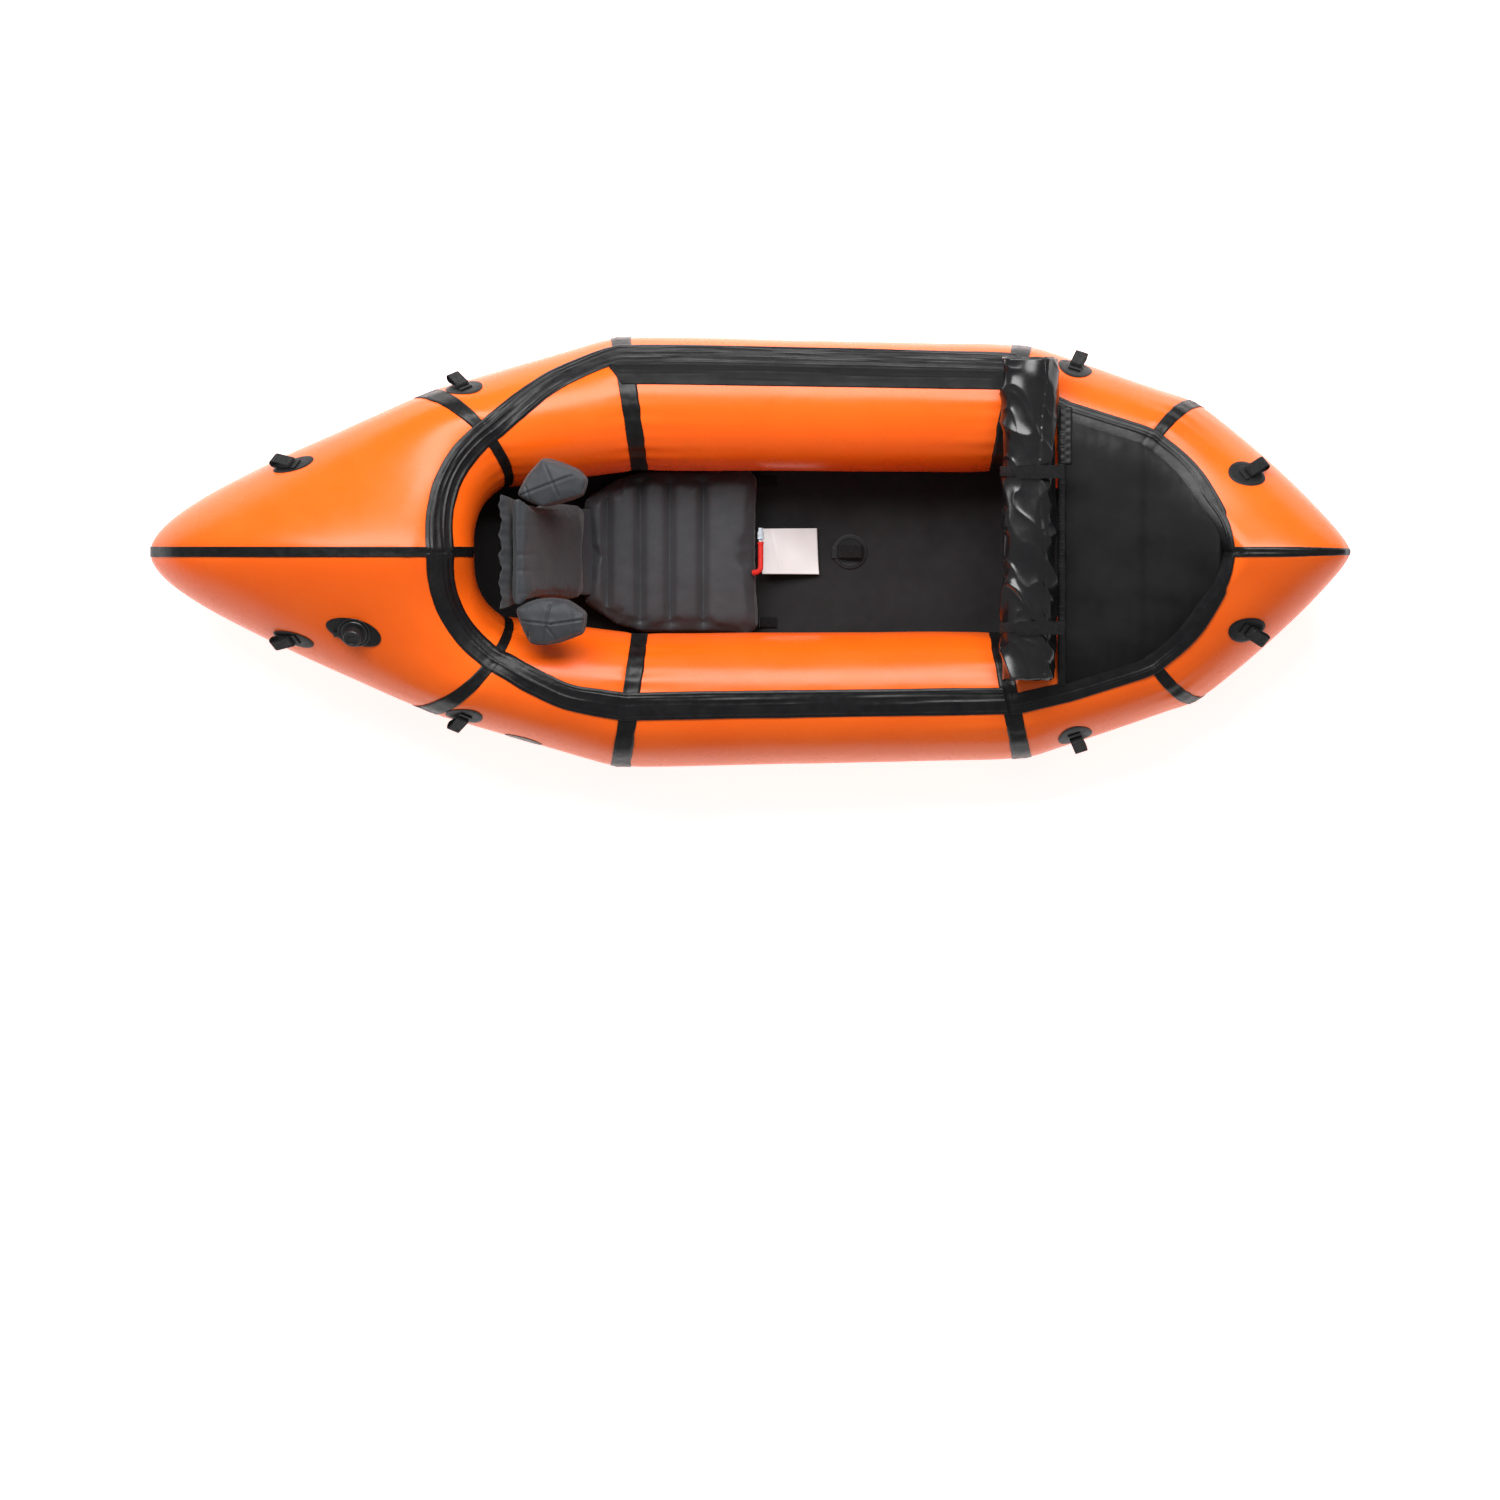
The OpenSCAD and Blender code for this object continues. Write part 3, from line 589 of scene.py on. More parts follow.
def hull_panel(side, i, name, rows=49, cols=216):
    st = i + clustered(rows, 1.8) * 0.9999
    a = np.linspace(0, 360, cols, endpoint=False)
    st, a = np.meshgrid(st, a, indexing="ij")
    uneven = swell(hull(1, st, a), side) * np.clip(np.minimum(st - i, i + 1 - st) * 6, 0, 1)
    outer = skin(side, st, a, uneven)
    inner = skin(side, st, a, uneven - SKIN)
    count = rows * cols
    faces = grid_faces(rows, cols, wrap=True) + grid_faces(rows, cols, count, wrap=True)
    for row in (0, rows - 1):
        for c in range(cols):
            p, q = row * cols + c, row * cols + (c + 1) % cols
            faces.append((p, q, q + count, p + count))
    verts = np.concatenate([outer.reshape(-1, 3), inner.reshape(-1, 3)])
    obj = add_object(name, verts, faces)
    return dress(obj, TUBE, nodes=[name])


for i, panel in enumerate(("stern_panel", "stern_quarter", "side_tube", "bow_quarter", "bow_panel")):
    hull_panel(1, i, panel + "_port")
    hull_panel(-1, i, panel + "_starboard")


# ---- Bands laid on the hull ----------------------------------------------------------------------
def tape_bump(st):
    """Height of the seam tapes under whatever crosses them."""
    ring = np.round(st)
    d = np.abs(st - ring) / TAPE_STATIONS
    return 1.8 * MM * np.exp(-(d ** 4)) * ((ring >= 1) & (ring <= LAST - 1))


def band(name, side, st, a, thick, lift=None):
    """A sheet on the hull over a grid of stations and angles, with an optional relief of its own."""
    low = 0.3 * MM + tape_bump(st)
    extra = np.zeros_like(st) if lift is None else lift
    return thick_grid(name, skin(side, st, a, low + extra * 0.6), skin(side, st, a, low + thick + extra))


def noise_line(x, seed, octaves=2):
    return np.array([noise.fractal(Vector((v, seed * 7.31, seed)), 1.0, 2.0, octaves) for v in x])


def seam_tape(side, ring, name):
    a = np.linspace(-78, 254, 300)
    k = np.linspace(-1, 1, 9)
    wander = 1 + 0.07 * noise_line(a / 14, ring + side)
    a2, k2 = np.meshgrid(a, k, indexing="ij")
    st = ring + k2 * TAPE_STATIONS * wander[:, None]
    crinkle = 0.35 * MM * fractal(hull(side, st, a2), 0.012, 2) * (1 - k2 ** 2)
    off = 0.4 * MM
    obj = thick_grid(name, skin(side, st, a2, off), skin(side, st, a2, off + 1.2 * MM + crinkle))
    return dress(obj, TAPE, nodes=[name])


for letter, ring in zip("abcd", (1, 2, 3, 4)):
    seam_tape(1, ring, f"seam_tape_{letter}_port")
    seam_tape(-1, ring, f"seam_tape_{letter}_starboard")


def centre_tape(name, ring, low, high):
    a = np.linspace(low, high, 220)
    y = np.linspace(-1, 1, 13)
    a2, y2 = np.meshgrid(a, y, indexing="ij")
    st = np.abs(y2) * (0.024 if ring == 0 else 0.12)
    if ring == LAST:
        st = LAST - st
    def layer(off):
        points = np.where(y2[..., None] < 0, skin(-1, st, a2, off), skin(1, st, a2, off))
        points[..., 1] = y2 * TAPE_W / 2
        return points
    crinkle = 0.3 * MM * fractal(layer(0), 0.012, 2)
    obj = thick_grid(name, layer(0.6 * MM), layer(2.2 * MM + crinkle))
    return dress(obj, TAPE, nodes=[name])


centre_tape("stern_centre_tape", 0, 4, 172)
centre_tape("bow_centre_tape", LAST, -46, 138)

PORT_PATH = [(0, 127), (0.25, 124), (0.5, 118), (0.75, 109), (1, 98), (1.3, 76), (1.6, 54), (1.9, 42),
             (2.2, 40), (2.6, 41), (2.95, 42)]
STARBOARD_PATH = [(0, 127), (0.25, 125), (0.5, 122), (0.75, 118), (1, 112), (1.3, 96), (1.6, 84),
                  (1.9, 84), (2.2, 85), (2.95, 85)]
COAMING_HALF = 12                    # degrees either side of its middle


def smooth_lookup(path, x, width=0.09):
    """The path's value at x, its corners rounded."""
    xs, ys = zip(*path)
    samples = np.linspace(-1, 1, 9) * width
    return np.mean([np.interp(x + d, xs, ys) for d in samples], axis=0)


def pleats(u, v, seed, height, count):
    """Folds that run along a strip, wander across it and fade in and out; u and v in metres."""
    total = np.zeros((len(u), len(v)))
    rng = np.random.default_rng(seed)
    for k in range(count):
        centre = rng.uniform(v[0], v[-1]) + 5 * MM * noise_line(u * 3.2, seed + k)
        strength = np.clip(noise_line(u * 4.5, seed + 20 + k) * 1.6 + 0.35, 0, 1)
        width = rng.uniform(1.6, 3.4) * MM
        total += strength[:, None] * np.exp(-((v[None, :] - centre[:, None]) / width) ** 2)
    return total * height


def coaming(side, path, name, fold_height, fold_count):
    st = np.linspace(0.022, 2.98, 520)
    k = np.linspace(-1, 1, 40)
    middle = smooth_lookup(path, st)
    st2, k2 = np.meshgrid(st, k, indexing="ij")
    a2 = middle[:, None] + k2 * (COAMING_HALF + 0.35 * noise_line(st * 9, side + 3)[:, None])
    u = np.concatenate([[0], np.cumsum(np.linalg.norm(np.diff(hull(side, st, middle), axis=0), axis=-1))])
    v = k * 27 * MM
    taper = (1 - k ** 6)[None, :]
    folds = pleats(u, v, 11 + side, fold_height, fold_count) * taper
    edge = 0.9 * MM * np.exp(-((np.abs(v)[None, :] - 22 * MM) / (1.6 * MM)) ** 2)
    folds = folds + edge + 0.5 * MM * fractal(hull(side, st2, a2), 0.02, 2) * taper
    obj = band(name, side, st2, a2, 1.5 * MM, folds)
    return dress(obj, COAMING, nodes=[name])


coaming(1, PORT_PATH, "coaming_port", 2.6 * MM, 9)
coaming(-1, STARBOARD_PATH, "coaming_starboard", 1.3 * MM, 5)


def spraydeck_band():
    st = np.linspace(1.93, 2.99, 240)
    k = np.linspace(0, 1, 30)
    st2, k2 = np.meshgrid(st, k, indexing="ij")
    slant = np.clip((st2 - 1.93) / 0.07, 0, 1)
    low = smooth_lookup(PORT_PATH, st)[:, None] + COAMING_HALF - 1.5
    a2 = low + k2 * (73 - low) * np.clip(slant + 0.15, 0, 1)
    folds = pleats(st * 0.7, k * 50 * MM, 5, 1.0 * MM, 4) * np.sin(np.pi * k)[None, :] ** 0.3
    edge = 1.6 * MM * np.exp(-((k2 - 0.06) / 0.05) ** 2)
    obj = band("spraydeck_band", 1, st2, a2, 1.5 * MM, folds + edge)
    return dress(obj, DECK, nodes=["spraydeck_band"])


spraydeck_band()

# ---- Bow deck ------------------------------------------------------------------------------------
DECK_PATH = [(3.38, 70), (3.9, 71), (4.05, 73), (4.16, 73), (4.27, 76), (4.42, 84), (4.57, 90),
             (4.8, 109), (4.97, 118)]
DECK_AFT, DECK_FORE = 3.38, 4.96
BORDER_AFT = 2.985                   # the border runs on under the roll to meet the coaming
BORDER_START = {1: 62, -1: 73}       # its outer angle there, per side
BORDER_W = 17                        # degrees
CROWN = 12 * MM
CROWN_RISE = 30 * MM                 # how far in from the border the deck levels out


def crown_lift(k, half):
    """Height of the deck above its edges, at k times half its width."""
    return CROWN * (1 - np.exp(-(1 - np.abs(k)) * half / CROWN_RISE))


def border_angle(side, st):
    low = smooth_lookup(DECK_PATH, st, 0.05)
    share = np.clip((DECK_AFT - st) / (DECK_AFT - BORDER_AFT), 0, 1)
    return low + (BORDER_START[side] - low) * share


def deck_edge_point(side, st, off=0.0):
    return skin(side, st, smooth_lookup(DECK_PATH, st, 0.05) + BORDER_W, off)


def deck_border():
    strips = []
    for side in (1, -1):
        st = np.linspace(BORDER_AFT, DECK_FORE, 300)
        k = np.linspace(0, 1, 36)
        st2, k2 = np.meshgrid(st, k, indexing="ij")
        a2 = border_angle(side, st)[:, None] + k2 * (BORDER_W + 1.5)
        rows = [0.10, 0.34]
        stitched = sum(-0.7 * MM * np.exp(-((k2 - r) / 0.022) ** 2) for r in rows)
        hem = 1.3 * MM * np.clip(1 - ((k2 - 0.22) / 0.26) ** 4, 0, 1)
        pucker = 0.35 * MM * np.sin(st2 * 480) * np.exp(-((k2 - 0.22) / 0.2) ** 2)
        obj = band("border", side, st2, a2, 1.5 * MM, stitched + hem + pucker)
        strips.append(obj)
    return dress(join("deck_border", strips), COAMING, nodes=["deck_border"])


def stitches():
    """Two rows of thread round the deck's border, each stitch a short raised bead."""
    verts, faces = [], []
    bead = 1.0 * MM
    for side in (1, -1):
        for share in (0.10, 0.34):
            st = np.linspace(DECK_AFT - 0.1, DECK_FORE, 360)
            a = border_angle(side, st) + share * (BORDER_W + 1.5)
            mid = skin(side, st, a, 2.3 * MM + tape_bump(st))
            top = skin(side, st, a, 3.1 * MM + tape_bump(st))
            for j in range(0, len(st) - 1, 2):
                p, q, up = mid[j], mid[j + 1], top[j] - mid[j]
                length = q - p
                across = np.cross(length, up)
                across = across / max(np.linalg.norm(across), 1e-9) * bead * 0.55
                p, q = p + length * 0.08, q - length * 0.08
                base = len(verts)
                verts += [p - across, p + across, q + across, q - across,
                          (p + q) / 2 - across * 0.5 + up, (p + q) / 2 + across * 0.5 + up]
                faces += [(base, base + 1, base + 5, base + 4), (base + 3, base + 4, base + 5, base + 2),
                          (base, base + 4, base + 3), (base + 1, base + 2, base + 5),
                          (base, base + 3, base + 2, base + 1)]
    obj = add_object("deck_stitches", verts, faces)
    return dress(obj, WEBBING)


def bow_deck():
    st = np.linspace(DECK_AFT, DECK_FORE, 150)
    k = np.sin(np.linspace(-1, 1, 121) * math.pi / 2)
    edge = deck_edge_point(1, st, 2.6 * MM)
    points = np.zeros((len(st), len(k), 3))
    points[..., 0] = edge[:, 0, None]
    points[..., 1] = edge[:, 1, None] * k
    lift = crown_lift(k[None, :], edge[:, 1, None])
    reach = np.clip(edge[:, 1, None] / 0.15, 0, 1)
    points[..., 2] = edge[:, 2, None] + lift * reach
    rim = np.exp(-(1 - np.abs(k))[None, :] / 0.10) * (1 - np.abs(k) ** 20)[None, :]
    pull = np.sin(points[..., 0] * 190 + 3 * np.sin(points[..., 0] * 37)) * rim * 1.3 * MM
    points[..., 2] += (pull + 2.2 * MM * fractal(points, 0.11, 2) * (1 - k ** 4)[None, :]) * reach
    under = points - np.array([0, 0, 1.2 * MM])
    obj = thick_grid("bow_deck", under, points)
    return dress(obj, DECK, nodes=["bow_deck"])


def deck_hem():
    """The rolled hem across the deck's after edge, with its row of stitching."""
    edge = deck_edge_point(1, DECK_AFT, 1.6 * MM)
    y = np.linspace(-1, 1, 220) * (edge[1] + 4 * MM)
    t = np.linspace(0, 2 * math.pi, 25)[:-1]
    rows = []
    for yy in y:
        k = abs(yy) / (edge[1] + 4 * MM)
        z = edge[2] + crown_lift(k, edge[1]) + 1.0 * MM
        wob = 0.5 * MM * math.sin(yy * 160)
        flat = 2.6 * MM * (1 - 0.35 * abs(math.sin(yy * 520)))
        rows.append(np.stack([edge[0] - 7 * MM + (8.0 * MM + wob) * np.cos(t), np.full_like(t, yy),
                              z + flat * np.sin(t)], axis=-1))
    points = np.array(rows)
    obj = open_grid("deck_hem", points, wrap=True)
    cap_ends(obj, len(y), len(t))
    return dress(obj, COAMING, nodes=["deck_hem"])


def cap_ends(obj, rows, cols):
    bm = bmesh.new()
    bm.from_mesh(obj.data)
    bm.verts.ensure_lookup_table()
    bm.faces.new([bm.verts[c] for c in range(cols)])
    bm.faces.new([bm.verts[(rows - 1) * cols + c] for c in reversed(range(cols))])
    bmesh.ops.recalc_face_normals(bm, faces=bm.faces)
    bm.to_mesh(obj.data)
    bm.free()
    smooth_by_angle(obj, 50)


def hem_fastener():
    """A strip of hook fastener sewn on the deck beside the roll's port end."""
    x = np.linspace(0.606, 0.630, 8)
    y = np.linspace(0.172, 0.284, 46)
    x2, y2 = np.meshgrid(x, y, indexing="ij")
    edge = deck_edge_point(1, DECK_AFT, 1.6 * MM)
    k = np.abs(y2) / (edge[1] + 4 * MM)
    base = edge[2] + CROWN * (1 - k ** 3.5) + 4.6 * MM
    top = np.stack([x2, y2, base + 1.6 * MM + 0.6 * MM * np.sin(x2 * 2100) * np.sin(y2 * 2100)], axis=-1)
    low = np.stack([x2, y2, base], axis=-1)
    obj = thick_grid("hem_fastener", low, top)
    return dress(obj, PATCH)


deck_border()
stitches()
bow_deck()
deck_hem()
hem_fastener()

# ---- Floor ---------------------------------------------------------------------------------------
FLOOR_T = 2 * MM
FLOOR_ROWS = [(-1, 298), (-1, 289), (-1, 280), (-1, 271), (-1, 262), (0, 1.5), (0, 2), (0, 3), (0, 3.5),
              (1, 262), (1, 271), (1, 281), (1, 290)]


def floor_row(kind, value, k, drop):
    side = np.where(k < 0, -1.0, 1.0)
    if kind == 0:
        edge = hull(1, value, 270)
        return np.stack([np.full_like(k, edge[0]), k * edge[1], np.full_like(k, edge[2] - drop)], axis=-1)
    st = np.abs(k) if kind < 0 else LAST - np.abs(k)
    a = value + (270 - value) * np.abs(k) / 2
    gap = 1.5 * MM if kind > 0 else 0
    points = hull(1, st, a, drop + gap)
    points[..., 1] *= side
    return points


def floor_sheet():
    k = np.linspace(-1, 1, 97)
    fine = 14
    layers = []
    for drop in (FLOOR_T, 0):
        rows = np.array([floor_row(kind, value, k, drop) for kind, value in FLOOR_ROWS])
        at = np.arange(len(rows))
        to = np.linspace(0, len(rows) - 1, (len(rows) - 1) * fine + 1)
        cell = np.minimum(to.astype(int), len(rows) - 2)
        t = (to - cell)[:, None, None]
        p0, p3 = rows[np.maximum(cell - 1, 0)], rows[np.minimum(cell + 2, at[-1])]
        p1, p2 = rows[cell], rows[cell + 1]
        cubic = p1 + 0.5 * t * (p2 - p0 + t * (2 * p0 - 5 * p1 + 4 * p2 - p3 + t * (3 * (p1 - p2) + p3 - p0)))
        linear = p1 + (p2 - p1) * t
        inside = (np.minimum(cell, 11 - cell) >= 5)[:, None, None]
        layers.append(np.where(inside, linear, cubic * 0 + linear))
    middle = (1 - np.abs(k) ** 3)[None, :] * np.clip((0.62 - np.abs(layers[0][..., 0])) * 8, 0, 1)
    sag = 2.4 * MM * fractal(layers[1], 0.13, 3) * middle
    for layer in layers:
        layer[..., 2] += sag
    obj = thick_grid("floor_sheet", layers[0], layers[1])
    return dress(obj, FLOOR, nodes=["floor_sheet"])


floor_sheet()


# ---- Rolled spraydeck ----------------------------------------------------------------------------
roll_low, roll_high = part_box("spraydeck_roll")
ROLL_X = (roll_low[0] + roll_high[0]) / 2
ROLL_Z = (roll_low[2] + roll_high[2]) / 2
ROLL_RX = (roll_high[0] - roll_low[0]) / 2
ROLL_RZ = (roll_high[2] - roll_low[2]) / 2
ROLL_CORE = ROLL_RX - ROLL_RZ


def stadium(t, grow=0.0):
    """Outline of the roll, x and z off its middle, at angles t."""
    r = ROLL_RZ + grow
    return ROLL_CORE * np.tanh(2.2 * np.cos(t)) + r * np.cos(t), r * np.sin(t)


def ridged(points, scale, octaves=3):
    """Sharp creases between smooth hollows, 0 to 1."""
    return 1 - np.clip(np.abs(fractal(points, scale, octaves)) * 2.6, 0, 1)


def spraydeck_roll():
    """Crumpled film wound on itself: its free edge runs along the top, and its ends show the turns."""
    rows, cols, cap_rows = 250, 150, 26
    y = np.linspace(roll_low[1] + 4 * MM, roll_high[1] - 4 * MM, rows)
    t = np.linspace(0, 2 * math.pi, cols, endpoint=False)
    y2, t2 = np.meshgrid(y, t, indexing="ij")
    x, z = stadium(t2)
    base = np.stack([x * 1.7 + y2 * 0.7, y2, z * 1.7], axis=-1)
    crease = ridged(base, 0.15, 1) ** 2 * 7.0 * MM + ridged(base + 5, 0.08, 1) ** 3 * 2.2 * MM
    slack = fractal(base + 9, 0.16, 2) * 3.5 * MM
    flap = 3.4 * MM * np.clip((np.mod(t2 - 1.05 - 0.18 * np.sin(y2 * 11), 2 * math.pi)) / 0.35, 0, 1)
    port = np.clip((y2 - (roll_high[1] - 0.075)) / 0.075, 0, 1)
    loose = port * (0.13 * np.sin(5 * t2 + 40 * y2) + 0.10 * np.sin(3 * t2)) * ROLL_RZ
    grow = -6.5 * MM + crease + slack + flap + loose * 0.6
    for middle in (0.157, -0.149):
        near = np.exp(-((y2 - middle) / 0.018) ** 2)
        grow = grow * (1 - near) - 1.5 * MM * near
    x, z = stadium(t2)
    length = np.sqrt(x ** 2 + z ** 2)
    flat = np.where(np.sin(t2) < -0.5, 0.3, 1.0)
    x, z = x * (1 + grow / length), z * (1 + grow * flat / length)
    body = np.stack([ROLL_X + x, y2, ROLL_Z + z], axis=-1)

    def end(row, sign):
        """Turns of the film on an end face, each turn's edge standing out."""
        rings = []
        for j in range(1, cap_rows):
            s = 1 - j / cap_rows
            turn = np.mod(4.2 * s - sign * t / (2 * math.pi), 1.0)
            out = 5 * MM * np.clip(1 - np.abs(turn - 0.5) * 5, 0, 1) - (1 - s) * 5 * MM
            wob = 1 + 0.05 * np.sin(2 * t + 9 * s)
            rings.append(np.stack([ROLL_X + (row[:, 0] - ROLL_X) * s * wob, row[:, 1] + sign * out,
                                   ROLL_Z + (row[:, 2] - ROLL_Z) * s * wob], axis=-1))
        return rings

    first, last = end(body[0], -1), end(body[-1], 1)
    grid = np.array(list(reversed(first)) + list(body) + last)
    count = len(grid)
    verts = np.concatenate([grid.reshape(-1, 3), [grid[0].mean(axis=0), grid[-1].mean(axis=0)]])
    faces = grid_faces(count, cols, wrap=True)
    for c in range(cols):
        d = (c + 1) % cols
        faces.append((c, d, count * cols))
        faces.append(((count - 1) * cols + d, (count - 1) * cols + c, count * cols + 1))
    obj = add_object("spraydeck_roll", verts, faces)
    dress(obj, ROLL, nodes=["spraydeck_roll"])
    return obj


def loop_strip(name, path, width, across, thick):
    """A closed strap: path is a ring of points, thick its thickness outwards from the path's middle."""
    path = np.asarray(path, float)
    n = len(path)
    ahead, behind = np.roll(path, -1, axis=0), np.roll(path, 1, axis=0)
    along_path = ahead - behind
    along_path /= np.linalg.norm(along_path, axis=1)[:, None]
    across = np.asarray(across, float)
    out = np.cross(along_path, across)
    out /= np.linalg.norm(out, axis=1)[:, None]
    if ((path - path.mean(axis=0)) * out).sum() < 0:
        out = -out
    profile = [(-1, 0.25), (-0.96, 0.8), (-0.86, 1), (0, 1.0), (0.86, 1), (0.96, 0.8), (1, 0.25),
               (0.96, -0.1), (0.86, -0.2), (0, -0.2), (-0.86, -0.2), (-0.96, -0.1)]
    grid = np.array([[path[i] + across * width / 2 * a + out[i] * thick * b for a, b in profile]
                     for i in range(n)])
    cols = len(profile)
    faces = ring_faces(n, cols)
    step = np.linalg.norm(np.diff(path, axis=0), axis=1)
    u = np.concatenate([[0], np.cumsum(step)])
    uv = np.stack([np.repeat(u, cols), np.tile([a * width / 2 for a, b in profile], n)], axis=-1)
    return add_object(name, grid.reshape(-1, 3), faces, uvs=uv)


def roll_strap(k, middle, name):
    t = np.linspace(0, 2 * math.pi, 120, endpoint=False)
    x, z = stadium(t, 1.6 * MM)
    wob = 0.7 * MM * np.sin(3 * t + k)
    path = np.stack([ROLL_X + x, middle + wob, ROLL_Z + z], axis=-1)
    obj = loop_strip(name, path, 20 * MM, (0, 1, 0), 1.6 * MM)
    return dress(obj, WEBBING, nodes=[name])


def roll_tab(k, name, body):
    """A tapered pull tab with a rounded, stitched end, lying on the strap."""
    low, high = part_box(name)
    middle = (low[1] + high[1]) / 2
    half = (high[1] - low[1]) / 2
    x = np.linspace(low[0] + 0.3 * MM, high[0], 90)
    round_part = np.sqrt(np.clip(1 - np.clip((low[0] + half - x) / half, 0, 1) ** 2, 0.0004, 1))
    v = np.sin(np.linspace(-1, 1, 25) * math.pi / 2)
    x2, v2 = np.meshgrid(x, v, indexing="ij")
    y = middle + v2 * half * round_part[:, None]
    stitch_side = np.exp(-((np.abs(v2) - 0.78) / 0.05) ** 2) * (0.6 + 0.4 * np.sin(x2 * 1500))
    stitch_end = np.exp(-((x2 - high[0] + 12 * MM) / (0.8 * MM)) ** 2) * (np.abs(v2) < 0.78)
    wave = 0.5 * MM * np.sin((x2 - low[0]) * 60 + k)
    z = low[2] + 2.2 * MM + wave - 0.5 * MM * np.clip(stitch_side + stitch_end, 0, 1)
    top = np.stack([x2, y, z], axis=-1)
    bottom = np.stack([x2, y, np.full_like(z, low[2]) + wave], axis=-1)
    obj = thick_grid(name, bottom, top)
    return dress(obj, WEBBING, body=body, nodes=[name])


spraydeck_roll()
roll_strap(0, 0.157, "roll_strap_port")
roll_strap(1, -0.149, "roll_strap_starboard")
roll_tab(0, "roll_tab_port", "tab_port")
roll_tab(1, "roll_tab_starboard", "tab_starboard")

# ---- Inflated pieces -----------------------------------------------------------------------------


def evaluated_copy(obj, name):
    graph = bpy.context.evaluated_depsgraph_get()
    mesh = bpy.data.meshes.new_from_object(obj.evaluated_get(graph))
    copy = bpy.data.objects.new(name, mesh)
    bpy.context.scene.collection.objects.link(copy)
    return copy


def coords(obj):
    points = np.zeros(len(obj.data.vertices) * 3)
    obj.data.vertices.foreach_get("co", points)
    return points.reshape(-1, 3)


def set_coords(obj, points):
    obj.data.vertices.foreach_set("co", np.asarray(points, float).ravel())
    obj.data.update()


def vertex_normals(obj):
    normals = np.zeros(len(obj.data.vertices) * 3)
    obj.data.vertices.foreach_get("normal", normals)
    return normals.reshape(-1, 3)


def inflate(source, name, voxel, pressure, cap, frames=20, stiffness=15):
    """Blow up a closed form as cloth: remeshed, simulated without gravity, each point's move capped."""
    remesh = source.modifiers.new("remesh", "REMESH")
    remesh.mode = "VOXEL"
    remesh.voxel_size = voxel
    remesh.use_smooth_shade = True
    obj = evaluated_copy(source, name + "_base")
    bpy.data.objects.remove(source)
    before = coords(obj)
    cloth = obj.modifiers.new("cloth", "CLOTH")
    cloth.settings.quality = 5
    cloth.settings.use_pressure = True
    cloth.settings.uniform_pressure_force = pressure
    cloth.settings.tension_stiffness = stiffness
    cloth.settings.compression_stiffness = stiffness
    cloth.settings.bending_stiffness = 0.4
    cloth.settings.effector_weights.gravity = 0
    for step in range(1, frames + 1):
        bpy.context.scene.frame_set(step)
    blown = evaluated_copy(obj, name + "_blown")
    move = coords(blown) - before
    size_of_move = np.linalg.norm(move, axis=1, keepdims=True)
    before = before + move * np.minimum(1, cap / np.maximum(size_of_move, 1e-9))
    bpy.data.objects.remove(blown)
    obj.modifiers.clear()
    bpy.context.scene.frame_set(1)
    set_coords(obj, before)
    divide = obj.modifiers.new("divide", "SUBSURF")
    divide.levels = 1
    fine = evaluated_copy(obj, name)
    bpy.data.objects.remove(obj)
    fine.data.polygons.foreach_set("use_smooth", [True] * len(fine.data.polygons))
    return fine


def slab(name, outline, low, high, inset=0.0):
    """A block with an outline in x and y between two heights; outline is a ring of points."""
    pts = np.array(outline, float)
    centre = pts.mean(axis=0)
    pts = pts + (centre - pts) / np.linalg.norm(centre - pts, axis=1, keepdims=True) * inset
    n = len(pts)
    verts = [(x, y, low) for x, y in pts] + [(x, y, high) for x, y in pts]
    faces = [tuple(reversed(range(n))), tuple(range(n, 2 * n))]
    faces += [(i, (i + 1) % n, n + (i + 1) % n, n + i) for i in range(n)]
    return add_object(name, verts, faces, smooth=False)


seat_low, seat_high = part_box("seat_cushion")
SEAT_CHANNELS = (-0.280, -0.215, -0.157, -0.092)


def groove(x, centre, width):
    return np.exp(-np.abs((x - centre) / width) ** 1.6)


